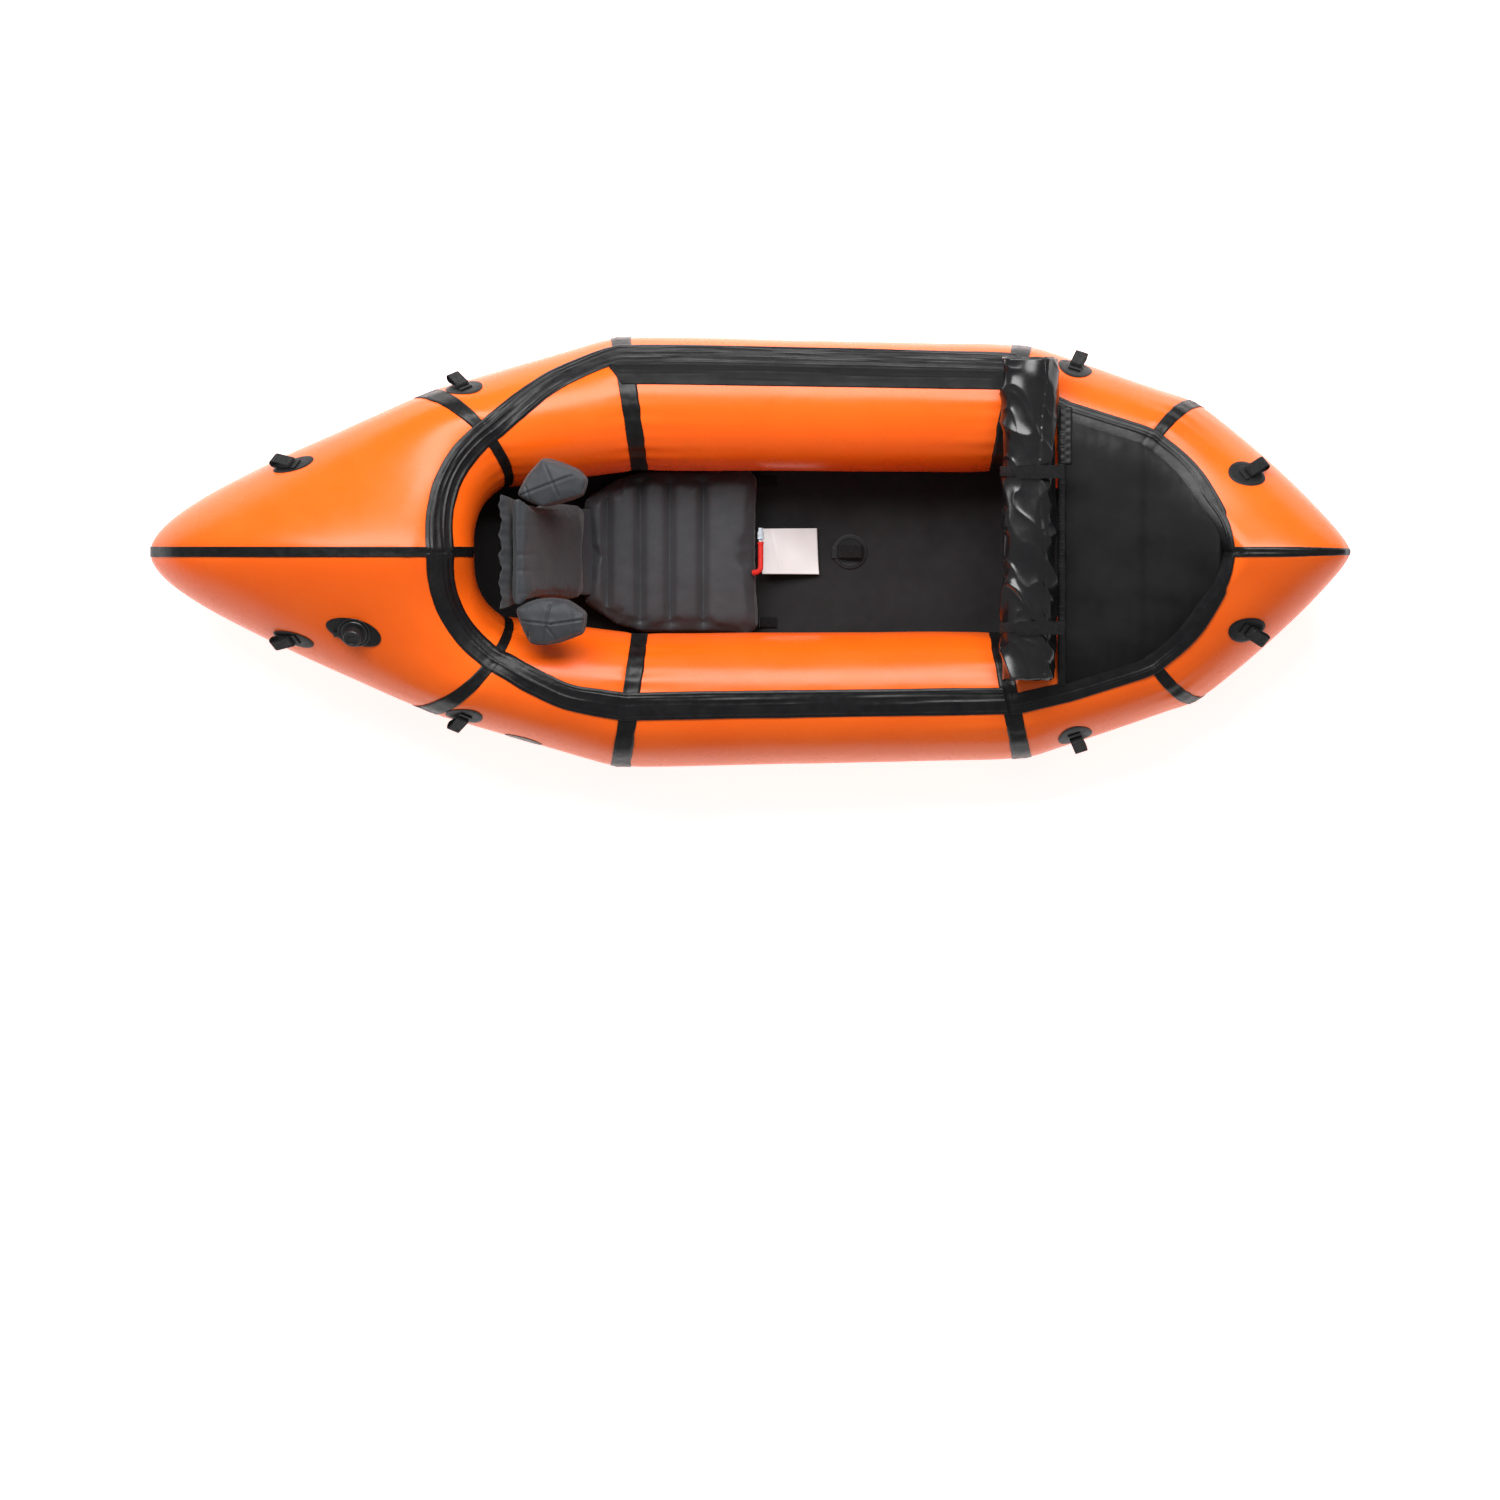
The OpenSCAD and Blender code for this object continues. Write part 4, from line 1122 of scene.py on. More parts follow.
def seat_cushion():
    x0, x1 = seat_low[0] + 8 * MM, seat_high[0] - 8 * MM
    half = seat_high[1] - 8 * MM
    outline = [(x0, -half + 0.058), (x0 + 0.062, -half + 0.014), (x0 + 0.11, -half), (x1 - 0.018, -half),
               (x1, -half + 0.018), (x1, half - 0.018), (x1 - 0.018, half), (x0 + 0.11, half),
               (x0 + 0.062, half - 0.014), (x0, half - 0.058)]
    block = slab("seat_block", outline, seat_low[2] + 13 * MM, seat_high[2] - 15 * MM)
    obj = inflate(block, "seat_cushion", 6 * MM, 4.0, 13 * MM)
    p = coords(obj)
    for axis in (0, 1):  # inflating draws the sides in, so the plan is brought back to its size
        low, high = p[:, axis].min(), p[:, axis].max()
        p[:, axis] = seat_low[axis] + (p[:, axis] - low) / (high - low) * (seat_high[axis] - seat_low[axis])
    n = vertex_normals(obj)
    middle = (seat_low[2] + seat_high[2]) / 2
    up = np.clip(n[:, 2], 0, 1)
    reach = 0.142 + 0.004 * np.sin(p[:, 0] * 40)
    window = 1 / (1 + np.exp((np.abs(p[:, 1]) - reach) / (5 * MM)))
    window = window * np.where(p[:, 0] < -0.25, 1 / (1 + np.exp((np.abs(p[:, 1]) - 0.112) / (6 * MM))), 1)
    drop = np.zeros(len(p))
    for centre in SEAT_CHANNELS:
        drop = np.maximum(drop, groove(p[:, 0], centre, 7 * MM))
        for end in (-1, 1):
            where = (p[:, 0] - centre) ** 2 / 0.012 ** 2 + (p[:, 1] - end * 0.137) ** 2 / 0.010 ** 2
            drop = np.maximum(drop, 1.15 * np.exp(-where))
    edges = np.array((seat_low[0],) + SEAT_CHANNELS + (seat_high[0] + 0.02,))
    crown = np.zeros(len(p))
    for a, b in zip(edges[:-1], edges[1:]):
        inside = (p[:, 0] > a) & (p[:, 0] <= b)
        s = (p[:, 0] - a) / (b - a)
        crown[inside] = (4 * s * (1 - s))[inside]
    p[:, 2] += up * window * (5 * MM * crown - 17 * MM * drop) + up * 0.8 * MM * fractal(p, 0.05, 3)
    under = np.clip(-n[:, 2], 0, 1)
    for centre in SEAT_CHANNELS:
        p[:, 2] += under * window * 4 * MM * groove(p[:, 0], centre, 8 * MM)
    seam = np.exp(-((p[:, 2] - middle) / (1.8 * MM)) ** 2) * (1 - np.abs(n[:, 2]))
    p += n * (seam * 2.0 * MM)[:, None]
    p[:, 2] = np.clip(p[:, 2], seat_low[2] + 0.3 * MM, seat_high[2] + 5 * MM)
    set_coords(obj, p)
    dress(obj, SEAT, nodes=["seat_cushion"])
    return obj


def seat_tie(side):
    """A webbing tab that holds the seat's front to the floor."""
    x = 0.017
    y = side * 0.138
    floor_z = LIFT + 1.6 * MM
    path = [(x + 2 * MM, floor_z + 44 * MM), (x + 3 * MM, floor_z + 26 * MM), (x + 4 * MM, floor_z + 8 * MM),
            (x + 7 * MM, floor_z + 2.2 * MM), (x + 14 * MM, floor_z + 0.8 * MM),
            (x + 36 * MM, floor_z + 0.6 * MM)]
    name = "tie_port" if side > 0 else "tie_starboard"
    return open_strip(name, [(a, y, b) for a, b in path], 20 * MM, (0, 1, 0), 1.6 * MM)


def open_strip(name, path, width, across, thick, steps=12):
    """A strap along a smooth path, with two ends."""
    path = np.asarray(path, float)
    n = len(path)
    to = np.linspace(0, n - 1, (n - 1) * steps + 1)
    cell = np.minimum(to.astype(int), n - 2)
    t = (to - cell)[:, None]
    p0, p1 = path[np.maximum(cell - 1, 0)], path[cell]
    p2, p3 = path[cell + 1], path[np.minimum(cell + 2, n - 1)]
    line = p1 + 0.5 * t * (p2 - p0 + t * (2 * p0 - 5 * p1 + 4 * p2 - p3 + t * (3 * (p1 - p2) + p3 - p0)))
    along_line = np.gradient(line, axis=0)
    across = np.asarray(across, float)
    out = np.cross(along_line, across)
    out /= np.linalg.norm(out, axis=1)[:, None]
    v = np.array([-1, -0.93, -0.8, 0, 0.8, 0.93, 1])
    crown = np.array([0.35, 0.85, 1, 1, 1, 0.85, 0.35])
    middle = line[:, None] + across * (v * width / 2)[None, :, None]
    half_thick = out[:, None] * (crown * thick / 2)[None, :, None]
    top, low = middle + half_thick, middle - half_thick
    return thick_grid(name, low, top)


def seat_ties():
    obj = join("seat_ties", [seat_tie(1), seat_tie(-1)])
    smooth_by_angle(obj, 60)
    return dress(obj, WEBBING, nodes=["seat_ties"])


seat_cushion()
seat_ties()

# ---- Backrest ------------------------------------------------------------------------------------
BACK_JOINT = next(j for j in frame["joints"] if j["name"] == "backrest_fold")
BACK_PIVOT = Vector(BACK_JOINT["pos_m"])
BACK_LEAN = math.radians(12)
BACK_PLACE = Matrix.Translation(BACK_PIVOT) @ Matrix.Rotation(-BACK_LEAN, 4, "Y")
BACK_H = (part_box("backrest_flange")[1][2] - BACK_PIVOT.z) / math.cos(BACK_LEAN)
BACK_T = 92 * MM


def in_back(obj):
    obj.data.transform(BACK_PLACE)
    return obj


# Pleats at the panel's top edge: place across it, depth and half width in millimetres
PANEL_PLEATS = [(-0.006, 7, 4.0), (-0.037, 7, 3.6), (0.052, 3.5, 5.0), (-0.082, 3.5, 5.0)]


def backrest_panel():
    """The wedge-shaped middle pad: thick at the seat, thin and hollow at its welded top edge."""
    rows, cols = 16, 18
    v, u = np.meshgrid(np.linspace(0, 1, rows), np.linspace(-1, 1, cols), indexing="ij")
    half = np.interp(v, [0, 0.18, 0.5, 0.85, 1], [0.088, 0.100, 0.096, 0.104, 0.114]) - 6 * MM
    z = 4 * MM + v * (BACK_H - 10 * MM)
    depth = np.interp(v, [0, 0.12, 0.5, 0.9, 1], [0.088, 0.086, 0.054, 0.020, 0.010])
    back = np.stack([np.full_like(u, -BACK_T + 9 * MM), u * half, z], axis=-1)
    front = np.stack([-BACK_T + 9 * MM + depth - 5 * MM * (1 - u ** 2) * v, u * half, z], axis=-1)
    block = thick_grid("back_block", back, front)
    obj = inflate(block, "backrest_panel", 6 * MM, 2.0, 7 * MM)
    p = coords(obj)
    n = vertex_normals(obj)
    top = np.exp(-np.clip(BACK_H - p[:, 2], 0, 1) / 0.030)
    front_face = np.clip(n[:, 0], 0, 1)
    for centre, depth_mm, width in PANEL_PLEATS:
        fold = np.exp(-((p[:, 1] - centre) / (width * MM)) ** 2) * top
        p -= n * (fold * front_face * depth_mm * MM)[:, None]
    hollow = np.exp(-((p[:, 1] + 0.02) / 0.07) ** 2 - ((p[:, 2] - 0.13) / 0.09) ** 2)
    p[:, 0] -= front_face * hollow * 9 * MM
    p += n * (1.0 * MM * fractal(p, 0.045, 3))[:, None]
    p[:, 0] = np.clip(p[:, 0], -BACK_T - 2 * MM, 7 * MM)
    set_coords(obj, p)
    in_back(obj)
    dress(obj, SEAT, body="backrest", nodes=["backrest_panel"])
    return obj


# Corners of each wing seen from above, in the backrest's frame: distance forward of the pivot and
# out from the middle. The two sides differ as they do on the boat. A crease is drawn from one
# point to another, with its half width and depth.
WING_PORT = [(-0.084, 0.112), (-0.062, 0.150), (-0.032, 0.186), (0.046, 0.160), (0.062, 0.142),
             (0.052, 0.110), (-0.030, 0.086)]
PORT_CREASES = [((-0.085, 0.106), (0.030, 0.149), 2.2 * MM, 5 * MM),
                ((-0.024, 0.172), (0.005, 0.108), 2.0 * MM, 4 * MM),
                ((-0.062, 0.128), (-0.048, 0.088), 2.0 * MM, 4 * MM)]
WING_STARBOARD = [(-0.086, 0.110), (-0.074, 0.150), (-0.054, 0.182), (-0.020, 0.184), (0.018, 0.172),
                  (0.054, 0.158), (0.060, 0.120), (0.020, 0.092), (-0.040, 0.090)]
STARBOARD_CREASES = [((-0.084, 0.134), (-0.010, 0.142), 1.8 * MM, 5 * MM),
                     ((-0.010, 0.142), (0.060, 0.132), 1.8 * MM, 5 * MM),
                     ((-0.014, 0.106), (-0.026, 0.178), 2.4 * MM, 5 * MM),
                     ((0.032, 0.116), (0.034, 0.168), 2.0 * MM, 4 * MM),
                     ((-0.020, 0.146), (0.004, 0.176), 2.0 * MM, 4 * MM),
                     ((-0.052, 0.146), (-0.060, 0.170), 2.0 * MM, 3 * MM)]


def near_line(p, start, end, width):
    """1 on a line between two points and falling off beside it."""
    start, end = np.array(start), np.array(end)
    way = end - start
    share = np.clip((p - start) @ way / (way @ way), 0, 1)
    away = np.linalg.norm(p - start - share[:, None] * way, axis=1)
    return np.exp(-(away / width) ** 2)


def backrest_wing(side, corners, creases, name):
    outline = [(x, y * side) for x, y in corners]
    if side < 0:
        outline.reverse()
    low, high = BACK_H - 58 * MM, BACK_H - 22 * MM
    block = slab("wing_block", outline, low, high, 4 * MM)
    obj = inflate(block, name, 4.5 * MM, 2.6, 12 * MM, stiffness=25)
    p = coords(obj)
    n = vertex_normals(obj)
    face = np.clip(n[:, 2], 0, 1)
    plan = p[:, :2] * np.array([1, side])
    for start, end, width, depth in creases:
        line = near_line(plan, start, end, width)
        swell_beside = near_line(plan, start, end, width * 4)
        p += n * ((swell_beside * 0.35 - line) * depth * face)[:, None]
    rim = np.exp(-((p[:, 2] - (low + high) / 2) / (1.6 * MM)) ** 2) * (1 - np.abs(n[:, 2]))
    p += n * (rim * 3.0 * MM)[:, None]
    p += n * (1.0 * MM * fractal(p + side, 0.04, 2))[:, None]
    p[:, 2] = np.minimum(p[:, 2], BACK_H + 1 * MM)
    set_coords(obj, p)
    in_back(obj)
    dress(obj, SEAT, body="backrest", nodes=[name])
    return obj


def backrest_flange():
    """The welded flange behind the backrest, its top edge drawn into scallops."""
    half_at = lambda z: np.interp(z, [0.024, BACK_H - 0.06, BACK_H], [0.088, 0.104, 0.112])
    z = np.linspace(0.024, BACK_H + 1.0 * MM, 90)
    k = np.linspace(-1, 1, 180)
    z2, k2 = np.meshgrid(z, k, indexing="ij")
    y = k2 * half_at(z2)
    share = np.clip((z2 - (BACK_H - 0.05)) / 0.05, 0, 1)
    scallop = 3.0 * MM * np.abs(np.sin(y * 62 + 0.5)) + 1.2 * MM * np.sin(y * 170)
    z2 = z2 - share ** 2 * scallop
    ripple = share * (2.6 * MM * np.sin(y * 125 + 0.6 * np.sin(y * 40)) + 1.0 * MM * np.sin(y * 330))
    x = -BACK_T - 6.5 * MM - share ** 1.5 * 9 * MM + ripple
    back = np.stack([x - 1.1 * MM, y, z2], axis=-1)
    front = np.stack([x + 1.1 * MM, y, z2], axis=-1)
    obj = in_back(thick_grid("backrest_flange", back, front))
    return dress(obj, SEAT, body="backrest", nodes=["backrest_flange"])


def backrest_hinge():
    """The fabric strip that ties the backrest's foot to the seat."""
    low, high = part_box("backrest_hinge")
    path = [(low[0] - 8 * MM, 0, high[2] + 9 * MM), (low[0] + 2 * MM, 0, high[2] + 1 * MM),
            (low[0] + 12 * MM, 0, low[2] - 6 * MM), (low[0] + 24 * MM, 0, low[2] - 16 * MM)]
    obj = open_strip("backrest_hinge", path, high[1] - low[1], (0, 1, 0), 1.6 * MM)
    return dress(obj, SEAT, nodes=["backrest_hinge"])


backrest_panel()
backrest_wing(1, WING_PORT, PORT_CREASES, "backrest_wing_port")
backrest_wing(-1, WING_STARBOARD, STARBOARD_CREASES, "backrest_wing_starboard")
backrest_flange()
backrest_hinge()

# ---- Turned pieces -------------------------------------------------------------------------------


def turned(name, profile, place, segments=96, ribs=0, rib_h=0.0, rib_z=(0, 1)):
    """A lathe form: profile is radius and height from the axis to the axis, with optional ribs."""
    t = np.linspace(0, 2 * math.pi, segments, endpoint=False)
    rows = []
    for r, z in profile:
        bulge = 0
        if ribs and rib_z[0] <= z <= rib_z[1]:
            bulge = rib_h * np.clip(1.5 * np.cos(ribs * t) + 0.2, 0, 1)
        rows.append(np.stack([(r + bulge) * np.cos(t), (r + bulge) * np.sin(t), np.full_like(t, z)], axis=-1))
    grid = np.array(rows)
    count = len(profile)
    verts = np.concatenate([grid.reshape(-1, 3), [(0, 0, profile[0][1]), (0, 0, profile[-1][1])]])
    faces = grid_faces(count, segments, wrap=True)
    for c in range(segments):
        d = (c + 1) % segments
        faces.append((c, d, count * segments))
        faces.append(((count - 1) * segments + d, (count - 1) * segments + c, count * segments + 1))
    obj = add_object(name, verts, faces)
    obj.data.transform(place)
    smooth_by_angle(obj, 40)
    return obj


def rounded(points, r=0.6 * MM, steps=3):
    """A profile with its corners softened."""
    pts = [np.array(p, float) for p in points]
    out = [pts[0]]
    for a, b, c in zip(pts, pts[1:], pts[2:]):
        la, lc = np.linalg.norm(a - b), np.linalg.norm(c - b)
        reach = min(r, la * 0.45, lc * 0.45)
        p, q = b + (a - b) / la * reach, b + (c - b) / lc * reach
        for k in range(steps + 1):
            t = k / steps
            out.append(p * (1 - t) ** 2 + b * 2 * t * (1 - t) + q * t ** 2)
    out.append(pts[-1])
    return [tuple(p) for p in out]


VALVE_PLACE = (-1, 0.583, 62.4)
VALVE = hull_frame(*VALVE_PLACE, 1.9 * MM)


def valve_at(h):
    return VALVE @ Matrix.Translation((0, 0, h))


def hull_disc(name, side, st, a, rx, ry, thick=1.5 * MM, rings=14, spokes=96, ring_at=0.82):
    """A glued patch that follows the hull, with a raised welded ring near its rim."""
    d_st = np.linalg.norm(hull(1, st + 0.01, a) - hull(1, st - 0.01, a)) / 0.02
    d_a = np.linalg.norm(hull(1, st, a + 1) - hull(1, st, a - 1)) / 2
    t = np.linspace(0, 2 * math.pi, spokes, endpoint=False)
    s = np.linspace(0.0, 1, rings) ** 0.8
    s[0] = 0.02
    s2, t2 = np.meshgrid(s, t, indexing="ij")
    st2 = st + s2 * rx * np.cos(t2) / d_st
    a2 = a + s2 * ry * np.sin(t2) / d_a
    emboss = 0.5 * MM * np.exp(-((s2 - ring_at) / 0.035) ** 2) - 0.4 * MM * (s2 > 0.97)
    top = skin(side, st2, a2, thick + 0.3 * MM + emboss)
    low = skin(side, st2, a2, 0.2 * MM)
    count = rings * spokes
    verts = np.concatenate([top.reshape(-1, 3), low.reshape(-1, 3)])
    faces = grid_faces(rings, spokes, wrap=True) + grid_faces(rings, spokes, count, wrap=True)
    rim = (rings - 1) * spokes
    for c in range(spokes):
        d = (c + 1) % spokes
        faces.append((rim + c, rim + d, count + rim + d, count + rim + c))
    faces.append(tuple(range(spokes)))
    faces.append(tuple(count + c for c in range(spokes)))
    obj = add_object(name, verts, faces)
    smooth_by_angle(obj, 50)
    return obj


def main_valve():
    patch = hull_disc("valve_patch", *VALVE_PLACE, 45 * MM, 45 * MM, rings=18)
    dress(patch, PATCH, nodes=["valve_patch"])
    body = turned("valve_body", rounded([(0.5 * MM, 0.2 * MM), (27 * MM, 0.2 * MM), (27 * MM, 3.4 * MM),
                                         (25.5 * MM, 5.2 * MM), (15 * MM, 5.2 * MM), (14 * MM, 6 * MM),
                                         (14 * MM, 15 * MM), (11 * MM, 15 * MM), (11 * MM, 4.4 * MM),
                                         (0.5 * MM, 4.4 * MM)]), valve_at(0))
    dress(body, BLACK, nodes=["valve_body"])
    profile = rounded([(0.5 * MM, 10.5 * MM), (14.3 * MM, 10.5 * MM), (14.3 * MM, 0), (17.6 * MM, 0),
                       (18 * MM, 1 * MM), (18 * MM, 17.5 * MM), (16.6 * MM, 19.8 * MM), (13 * MM, 20 * MM),
                       (12.2 * MM, 18.8 * MM), (0.5 * MM, 18.8 * MM)], 0.7 * MM)
    cap = turned("valve_cap", profile, valve_at(5.6 * MM), 288, 24, 1.3 * MM, (0.8 * MM, 17.8 * MM))
    bar_profile = [(0.3 * MM, 18 * MM), (3.0 * MM, 18 * MM), (3.0 * MM, 20 * MM), (0.3 * MM, 20.2 * MM)]
    bar = turned("cap_bar", rounded(bar_profile, 0.5 * MM),
                 valve_at(5.6 * MM) @ Matrix.Diagonal((3.6, 0.9, 1, 1)), 64)
    cap = join("valve_cap", [cap, bar])
    dress(cap, BLACK, body="valve_cap_body", nodes=["valve_cap"])
    t = np.linspace(0, 2 * math.pi, 96, endpoint=False)
    ring = np.stack([30.4 * MM * np.cos(t), 30.4 * MM * np.sin(t), np.full_like(t, 1.4 * MM)], axis=-1)
    loop = round_ring("leash_ring", ring, 2.6 * MM, 0.9 * MM)
    tail_path = [(30 * MM, 0, 1.4 * MM), (36 * MM, 0, 1.8 * MM), (43 * MM, 0, 1.3 * MM)]
    tail = open_strip("leash_tail", tail_path, 10 * MM,
                      (0, 1, 0), 1.8 * MM)
    leash = join("valve_leash", [loop, tail])
    leash.data.transform(VALVE)
    dress(leash, BLACK, nodes=["valve_leash"])


def round_ring(name, path, half_w, half_t):
    """A closed ring of flat oval section round a path in its own plane."""
    n = len(path)
    t = np.linspace(0, 2 * math.pi, 12, endpoint=False)
    centre = path.mean(axis=0)
    out = path - centre
    out /= np.linalg.norm(out, axis=1)[:, None]
    up = np.array([0, 0, 1.0])
    sideways = out[:, None] * (half_w * np.cos(t))[None, :, None]
    upward = up * (half_t * np.sin(t))[None, :, None]
    grid = path[:, None] + sideways + upward
    cols = len(t)
    faces = ring_faces(n, cols)
    return add_object(name, grid.reshape(-1, 3), faces)


main_valve()

# ---- Lashing points ------------------------------------------------------------------------------
LOOP_W = 25 * MM


def loop_path():
    """The webbing loop's middle line in its own x and z: a teardrop from the patch outwards."""
    small, large = np.array([4.0, 4.6]), np.array([38.0, 9.0])
    r0, r1 = 2.6, 7.2
    d = np.linalg.norm(large - small)
    tilt = math.atan2(large[1] - small[1], large[0] - small[0])
    open_angle = math.acos((r0 - r1) / d)
    pts = []
    for t in np.linspace(open_angle, 2 * math.pi - open_angle, 14):
        pts.append(small + r0 * np.array([math.cos(t + tilt), math.sin(t + tilt)]))
    for s in np.linspace(0.05, 0.95, 14):
        a = small + r0 * np.array([math.cos(-open_angle + tilt), math.sin(-open_angle + tilt)])
        b = large + r1 * np.array([math.cos(-open_angle + tilt), math.sin(-open_angle + tilt)])
        pts.append(a * (1 - s) + b * s)
    for t in np.linspace(-open_angle, open_angle, 22):
        pts.append(large + r1 * np.array([math.cos(t + tilt), math.sin(t + tilt)]))
    for s in np.linspace(0.05, 0.95, 14):
        a = large + r1 * np.array([math.cos(open_angle + tilt), math.sin(open_angle + tilt)])
        b = small + r0 * np.array([math.cos(open_angle + tilt), math.sin(open_angle + tilt)])
        pts.append(a * (1 - s) + b * s)
    return np.array(pts) * MM


def webbing_loop(name, place, seed):
    line = loop_path()
    reach = np.clip(line[:, 0] / 0.04, 0, 1)
    sway = 1.6 * MM * math.sin(seed * 2.1) * reach
    path = np.stack([line[:, 0], sway, line[:, 1]], axis=-1)
    obj = loop_strip(name, path, LOOP_W, (0, 1, 0), 1.5 * MM)
    obj.data.transform(place)
    smooth_by_angle(obj, 60)
    return obj


def stitch_box(name, place):
    """The sewn foot of the webbing on its patch."""
    x = np.linspace(-12, -1, 24) * MM
    y = np.linspace(-0.5, 0.5, 40) * LOOP_W
    x2, y2 = np.meshgrid(x, y, indexing="ij")
    sew = np.maximum(np.exp(-((np.abs(y2) - 9.5 * MM) / (0.7 * MM)) ** 2),
                     np.exp(-((x2 + 3 * MM) / (0.6 * MM)) ** 2))
    sew = np.maximum(sew, np.exp(-((x2 + 10 * MM) / (0.6 * MM)) ** 2))
    sew = sew * (0.6 + 0.4 * np.sin((x2 + y2) * 3000))
    top = np.stack([x2, y2, 2.6 * MM + 0.15 * MM * np.sin(y2 * 4200) - 0.5 * MM * sew], axis=-1)
    low = np.stack([x2, y2, np.full_like(x2, 0.1 * MM)], axis=-1)
    obj = thick_grid(name, low, top)
    obj.data.transform(place)
    return obj


patches = []
for number, (side, st, a) in enumerate(LASH_POINTS, start=1):
    place = hull_frame(side, st, a, 1.9 * MM)
    patches.append(hull_disc("patch", side, st, a, 34 * MM, 34 * MM))
    patches.append(stitch_box("patch_foot", place))
    loop = webbing_loop(f"lash_loop_{number}", place, number)
    dress(loop, WEBBING, body=f"loop_{number}", nodes=[f"lash_loop_{number}"])
dress(join("lashing_patches", patches), PATCH, nodes=["lashing_patches"])

badge = hull_disc("badge", -1, 1.5, 12, 38 * MM, 21 * MM, thick=0.8 * MM, ring_at=0.9)
dress(badge, BLACK, nodes=["badge"])


def floor_point_of_loop():
    low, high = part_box("floor_patch")
    return (low[0] + high[0]) / 2, (high[0] - low[0]) / 2, low[2]


def floor_patch():
    x, r, z = floor_point_of_loop()
    profile = [(0.5 * MM, 0), (r, 0), (r, 1.1 * MM), (r - 1.5 * MM, 1.6 * MM), (r * 0.84, 1.5 * MM),
               (r * 0.82, 2.1 * MM), (r * 0.79, 2.1 * MM), (r * 0.77, 1.5 * MM), (r * 0.3, 1.6 * MM),
               (0.5 * MM, 1.6 * MM)]
    disc = turned("floor_disc", rounded(profile, 0.3 * MM), Matrix.Translation((x, 0, z)), 96)
    foot = stitch_box("floor_foot", Matrix.Translation((x - 24 * MM, 0, z + 1.6 * MM)))
    obj = join("floor_patch", [disc, foot])
    dress(obj, PATCH, nodes=["floor_patch"])
    place = Matrix.Translation((x - 23 * MM, 0, z + 1.9 * MM))
    loop = webbing_loop("floor_loop", place, 9)
    dress(loop, WEBBING, body="floor_loop_body", nodes=["floor_loop"])


floor_patch()

# ---- Oral valve and tag --------------------------------------------------------------------------


def tube_along(name, path, radius, segments=40, steps=10):
    """A round tube along a smooth path, its ends closed."""
    path = np.asarray(path, float)
    n = len(path)
    to = np.linspace(0, n - 1, (n - 1) * steps + 1)
    cell = np.minimum(to.astype(int), n - 2)
    t = (to - cell)[:, None]
    p0, p1 = path[np.maximum(cell - 1, 0)], path[cell]
    p2, p3 = path[cell + 1], path[np.minimum(cell + 2, n - 1)]
    line = p1 + 0.5 * t * (p2 - p0 + t * (2 * p0 - 5 * p1 + 4 * p2 - p3 + t * (3 * (p1 - p2) + p3 - p0)))
    radii = np.interp(to, np.arange(n), radius) if hasattr(radius, "__len__") else np.full(len(to), radius)
    heading = np.gradient(line, axis=0)
    heading /= np.linalg.norm(heading, axis=1)[:, None]
    side_axis = np.cross(heading, [0.05, 0.1, 1.0])
    side_axis /= np.linalg.norm(side_axis, axis=1)[:, None]
    other = np.cross(heading, side_axis)
    a = np.linspace(0, 2 * math.pi, segments, endpoint=False)
    ring = side_axis[:, None] * np.cos(a)[None, :, None] + other[:, None] * np.sin(a)[None, :, None]
    grid = line[:, None] + ring * radii[:, None, None]
    obj = open_grid(name, grid, wrap=True)
    cap_ends(obj, len(line), segments)
    return obj


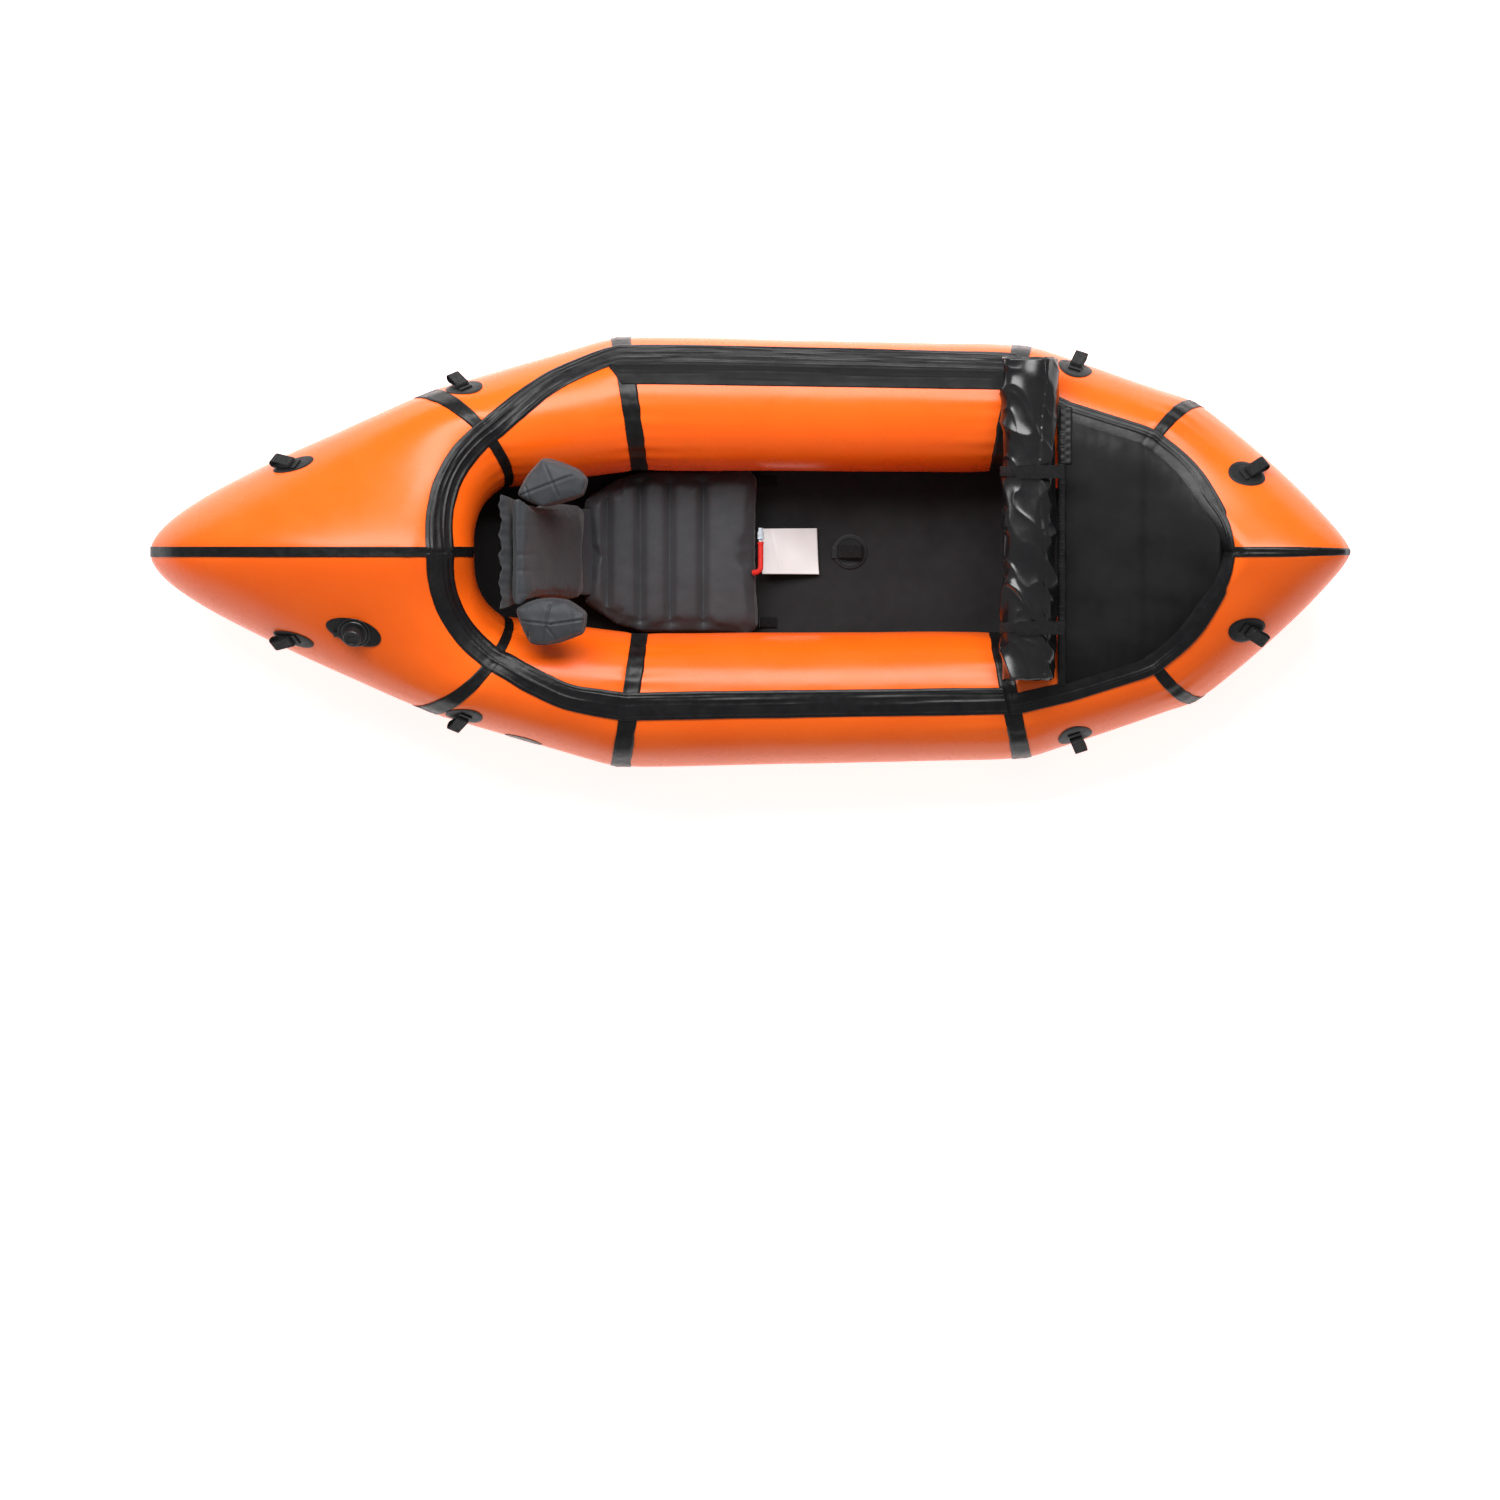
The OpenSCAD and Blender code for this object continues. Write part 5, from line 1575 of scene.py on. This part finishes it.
def oral_valve():
    low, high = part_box("oral_valve_stem")
    x, z = (low[0] + high[0]) / 2, (low[2] + high[2]) / 2
    r = (high[0] - low[0]) / 2
    back = (x - 14 * MM, low[1] - 2 * MM, z - 9 * MM)
    path = [back, (x - 7 * MM, low[1] - 0.5 * MM, z - 4 * MM), (x - 1 * MM, low[1] + 5 * MM, z - 0.5 * MM),
            (x, low[1] + 14 * MM, z), (x, low[1] + 32 * MM, z), (x, high[1] - 7 * MM, z),
            (x, high[1] - 5 * MM, z), (x, high[1], z)]
    radius = [r * 0.92, r * 0.9, r * 0.88, r * 0.88, r * 0.88, r * 0.88, r, r]
    stem = tube_along("oral_valve_stem", path, radius)
    dress(stem, RED, nodes=["oral_valve_stem"])
    cap_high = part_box("oral_valve_cap")[1]
    start = high[1] + 4.6 * MM
    length = cap_high[1] - start
    profile = rounded([(0.3 * MM, -16 * MM), (3.7 * MM, -16 * MM), (3.7 * MM, 0), (6.4 * MM, 0),
                       (6.4 * MM, 3 * MM),
                       (5.6 * MM, 3.6 * MM), (5.6 * MM, length - 8 * MM), (4.6 * MM, length - 6 * MM),
                       (4.6 * MM, length - 0.6 * MM), (4.0 * MM, length), (0.3 * MM, length)], 0.5 * MM)
    place = Matrix.Translation((x, start, z)) @ Matrix.Rotation(-math.pi / 2, 4, "X")
    cap = turned("oral_valve_cap", profile, place, 96, 16, 0.35 * MM, (3.5 * MM, length - 8 * MM))
    dress(cap, CLEAR, body="oral_cap", nodes=["oral_valve_cap"])


def paper_tag():
    """A blank white leaflet, a little bowed and curled at its corners, with its loop end gathered."""
    low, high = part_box("paper_tag")
    length, width = 112 * MM, 90 * MM
    u = np.linspace(0, 1, 60)
    v = np.linspace(-1, 1, 46)
    u2, v2 = np.meshgrid(u, v, indexing="ij")
    x = u2 * length * (1 - 0.02 * v2)
    y = v2 * width / 2 * (0.985 + 0.015 * u2)
    bow = 2.6 * MM * np.sin(math.pi * u2) * (1 - 0.3 * v2) + 2.0 * MM * (np.abs(v2) * u2) ** 4
    fold = -1.8 * MM * np.exp(-((u2 - 0.24 + 0.10 * v2) / 0.03) ** 2)
    z = bow + fold + 0.5 * MM * np.sin(6 * u2 + 4 * v2)
    top = np.stack([x, y, z + 0.5 * MM], axis=-1)
    bottom = np.stack([x, y, z], axis=-1)
    obj = thick_grid("paper_tag", bottom, top)
    place = Matrix.Translation((low[0], (low[1] + high[1]) / 2, high[2] - 1.6 * MM))
    obj.data.transform(place @ Matrix.Rotation(math.radians(14), 4, "Y"))
    dress(obj, PAPER, nodes=["paper_tag"])
    return obj


oral_valve()
paper_tag()

# ---- Skeg, as in the CAD --------------------------------------------------------------------------
SKEG = make_plastic("skeg_plastic", (0.014, 0.014, 0.015), 0.4)
for node in ("skeg_base", "skeg_fin"):
    target = frame["nodes"][node]
    for material_slot in target.material_slots:
        material_slot.material = SKEG
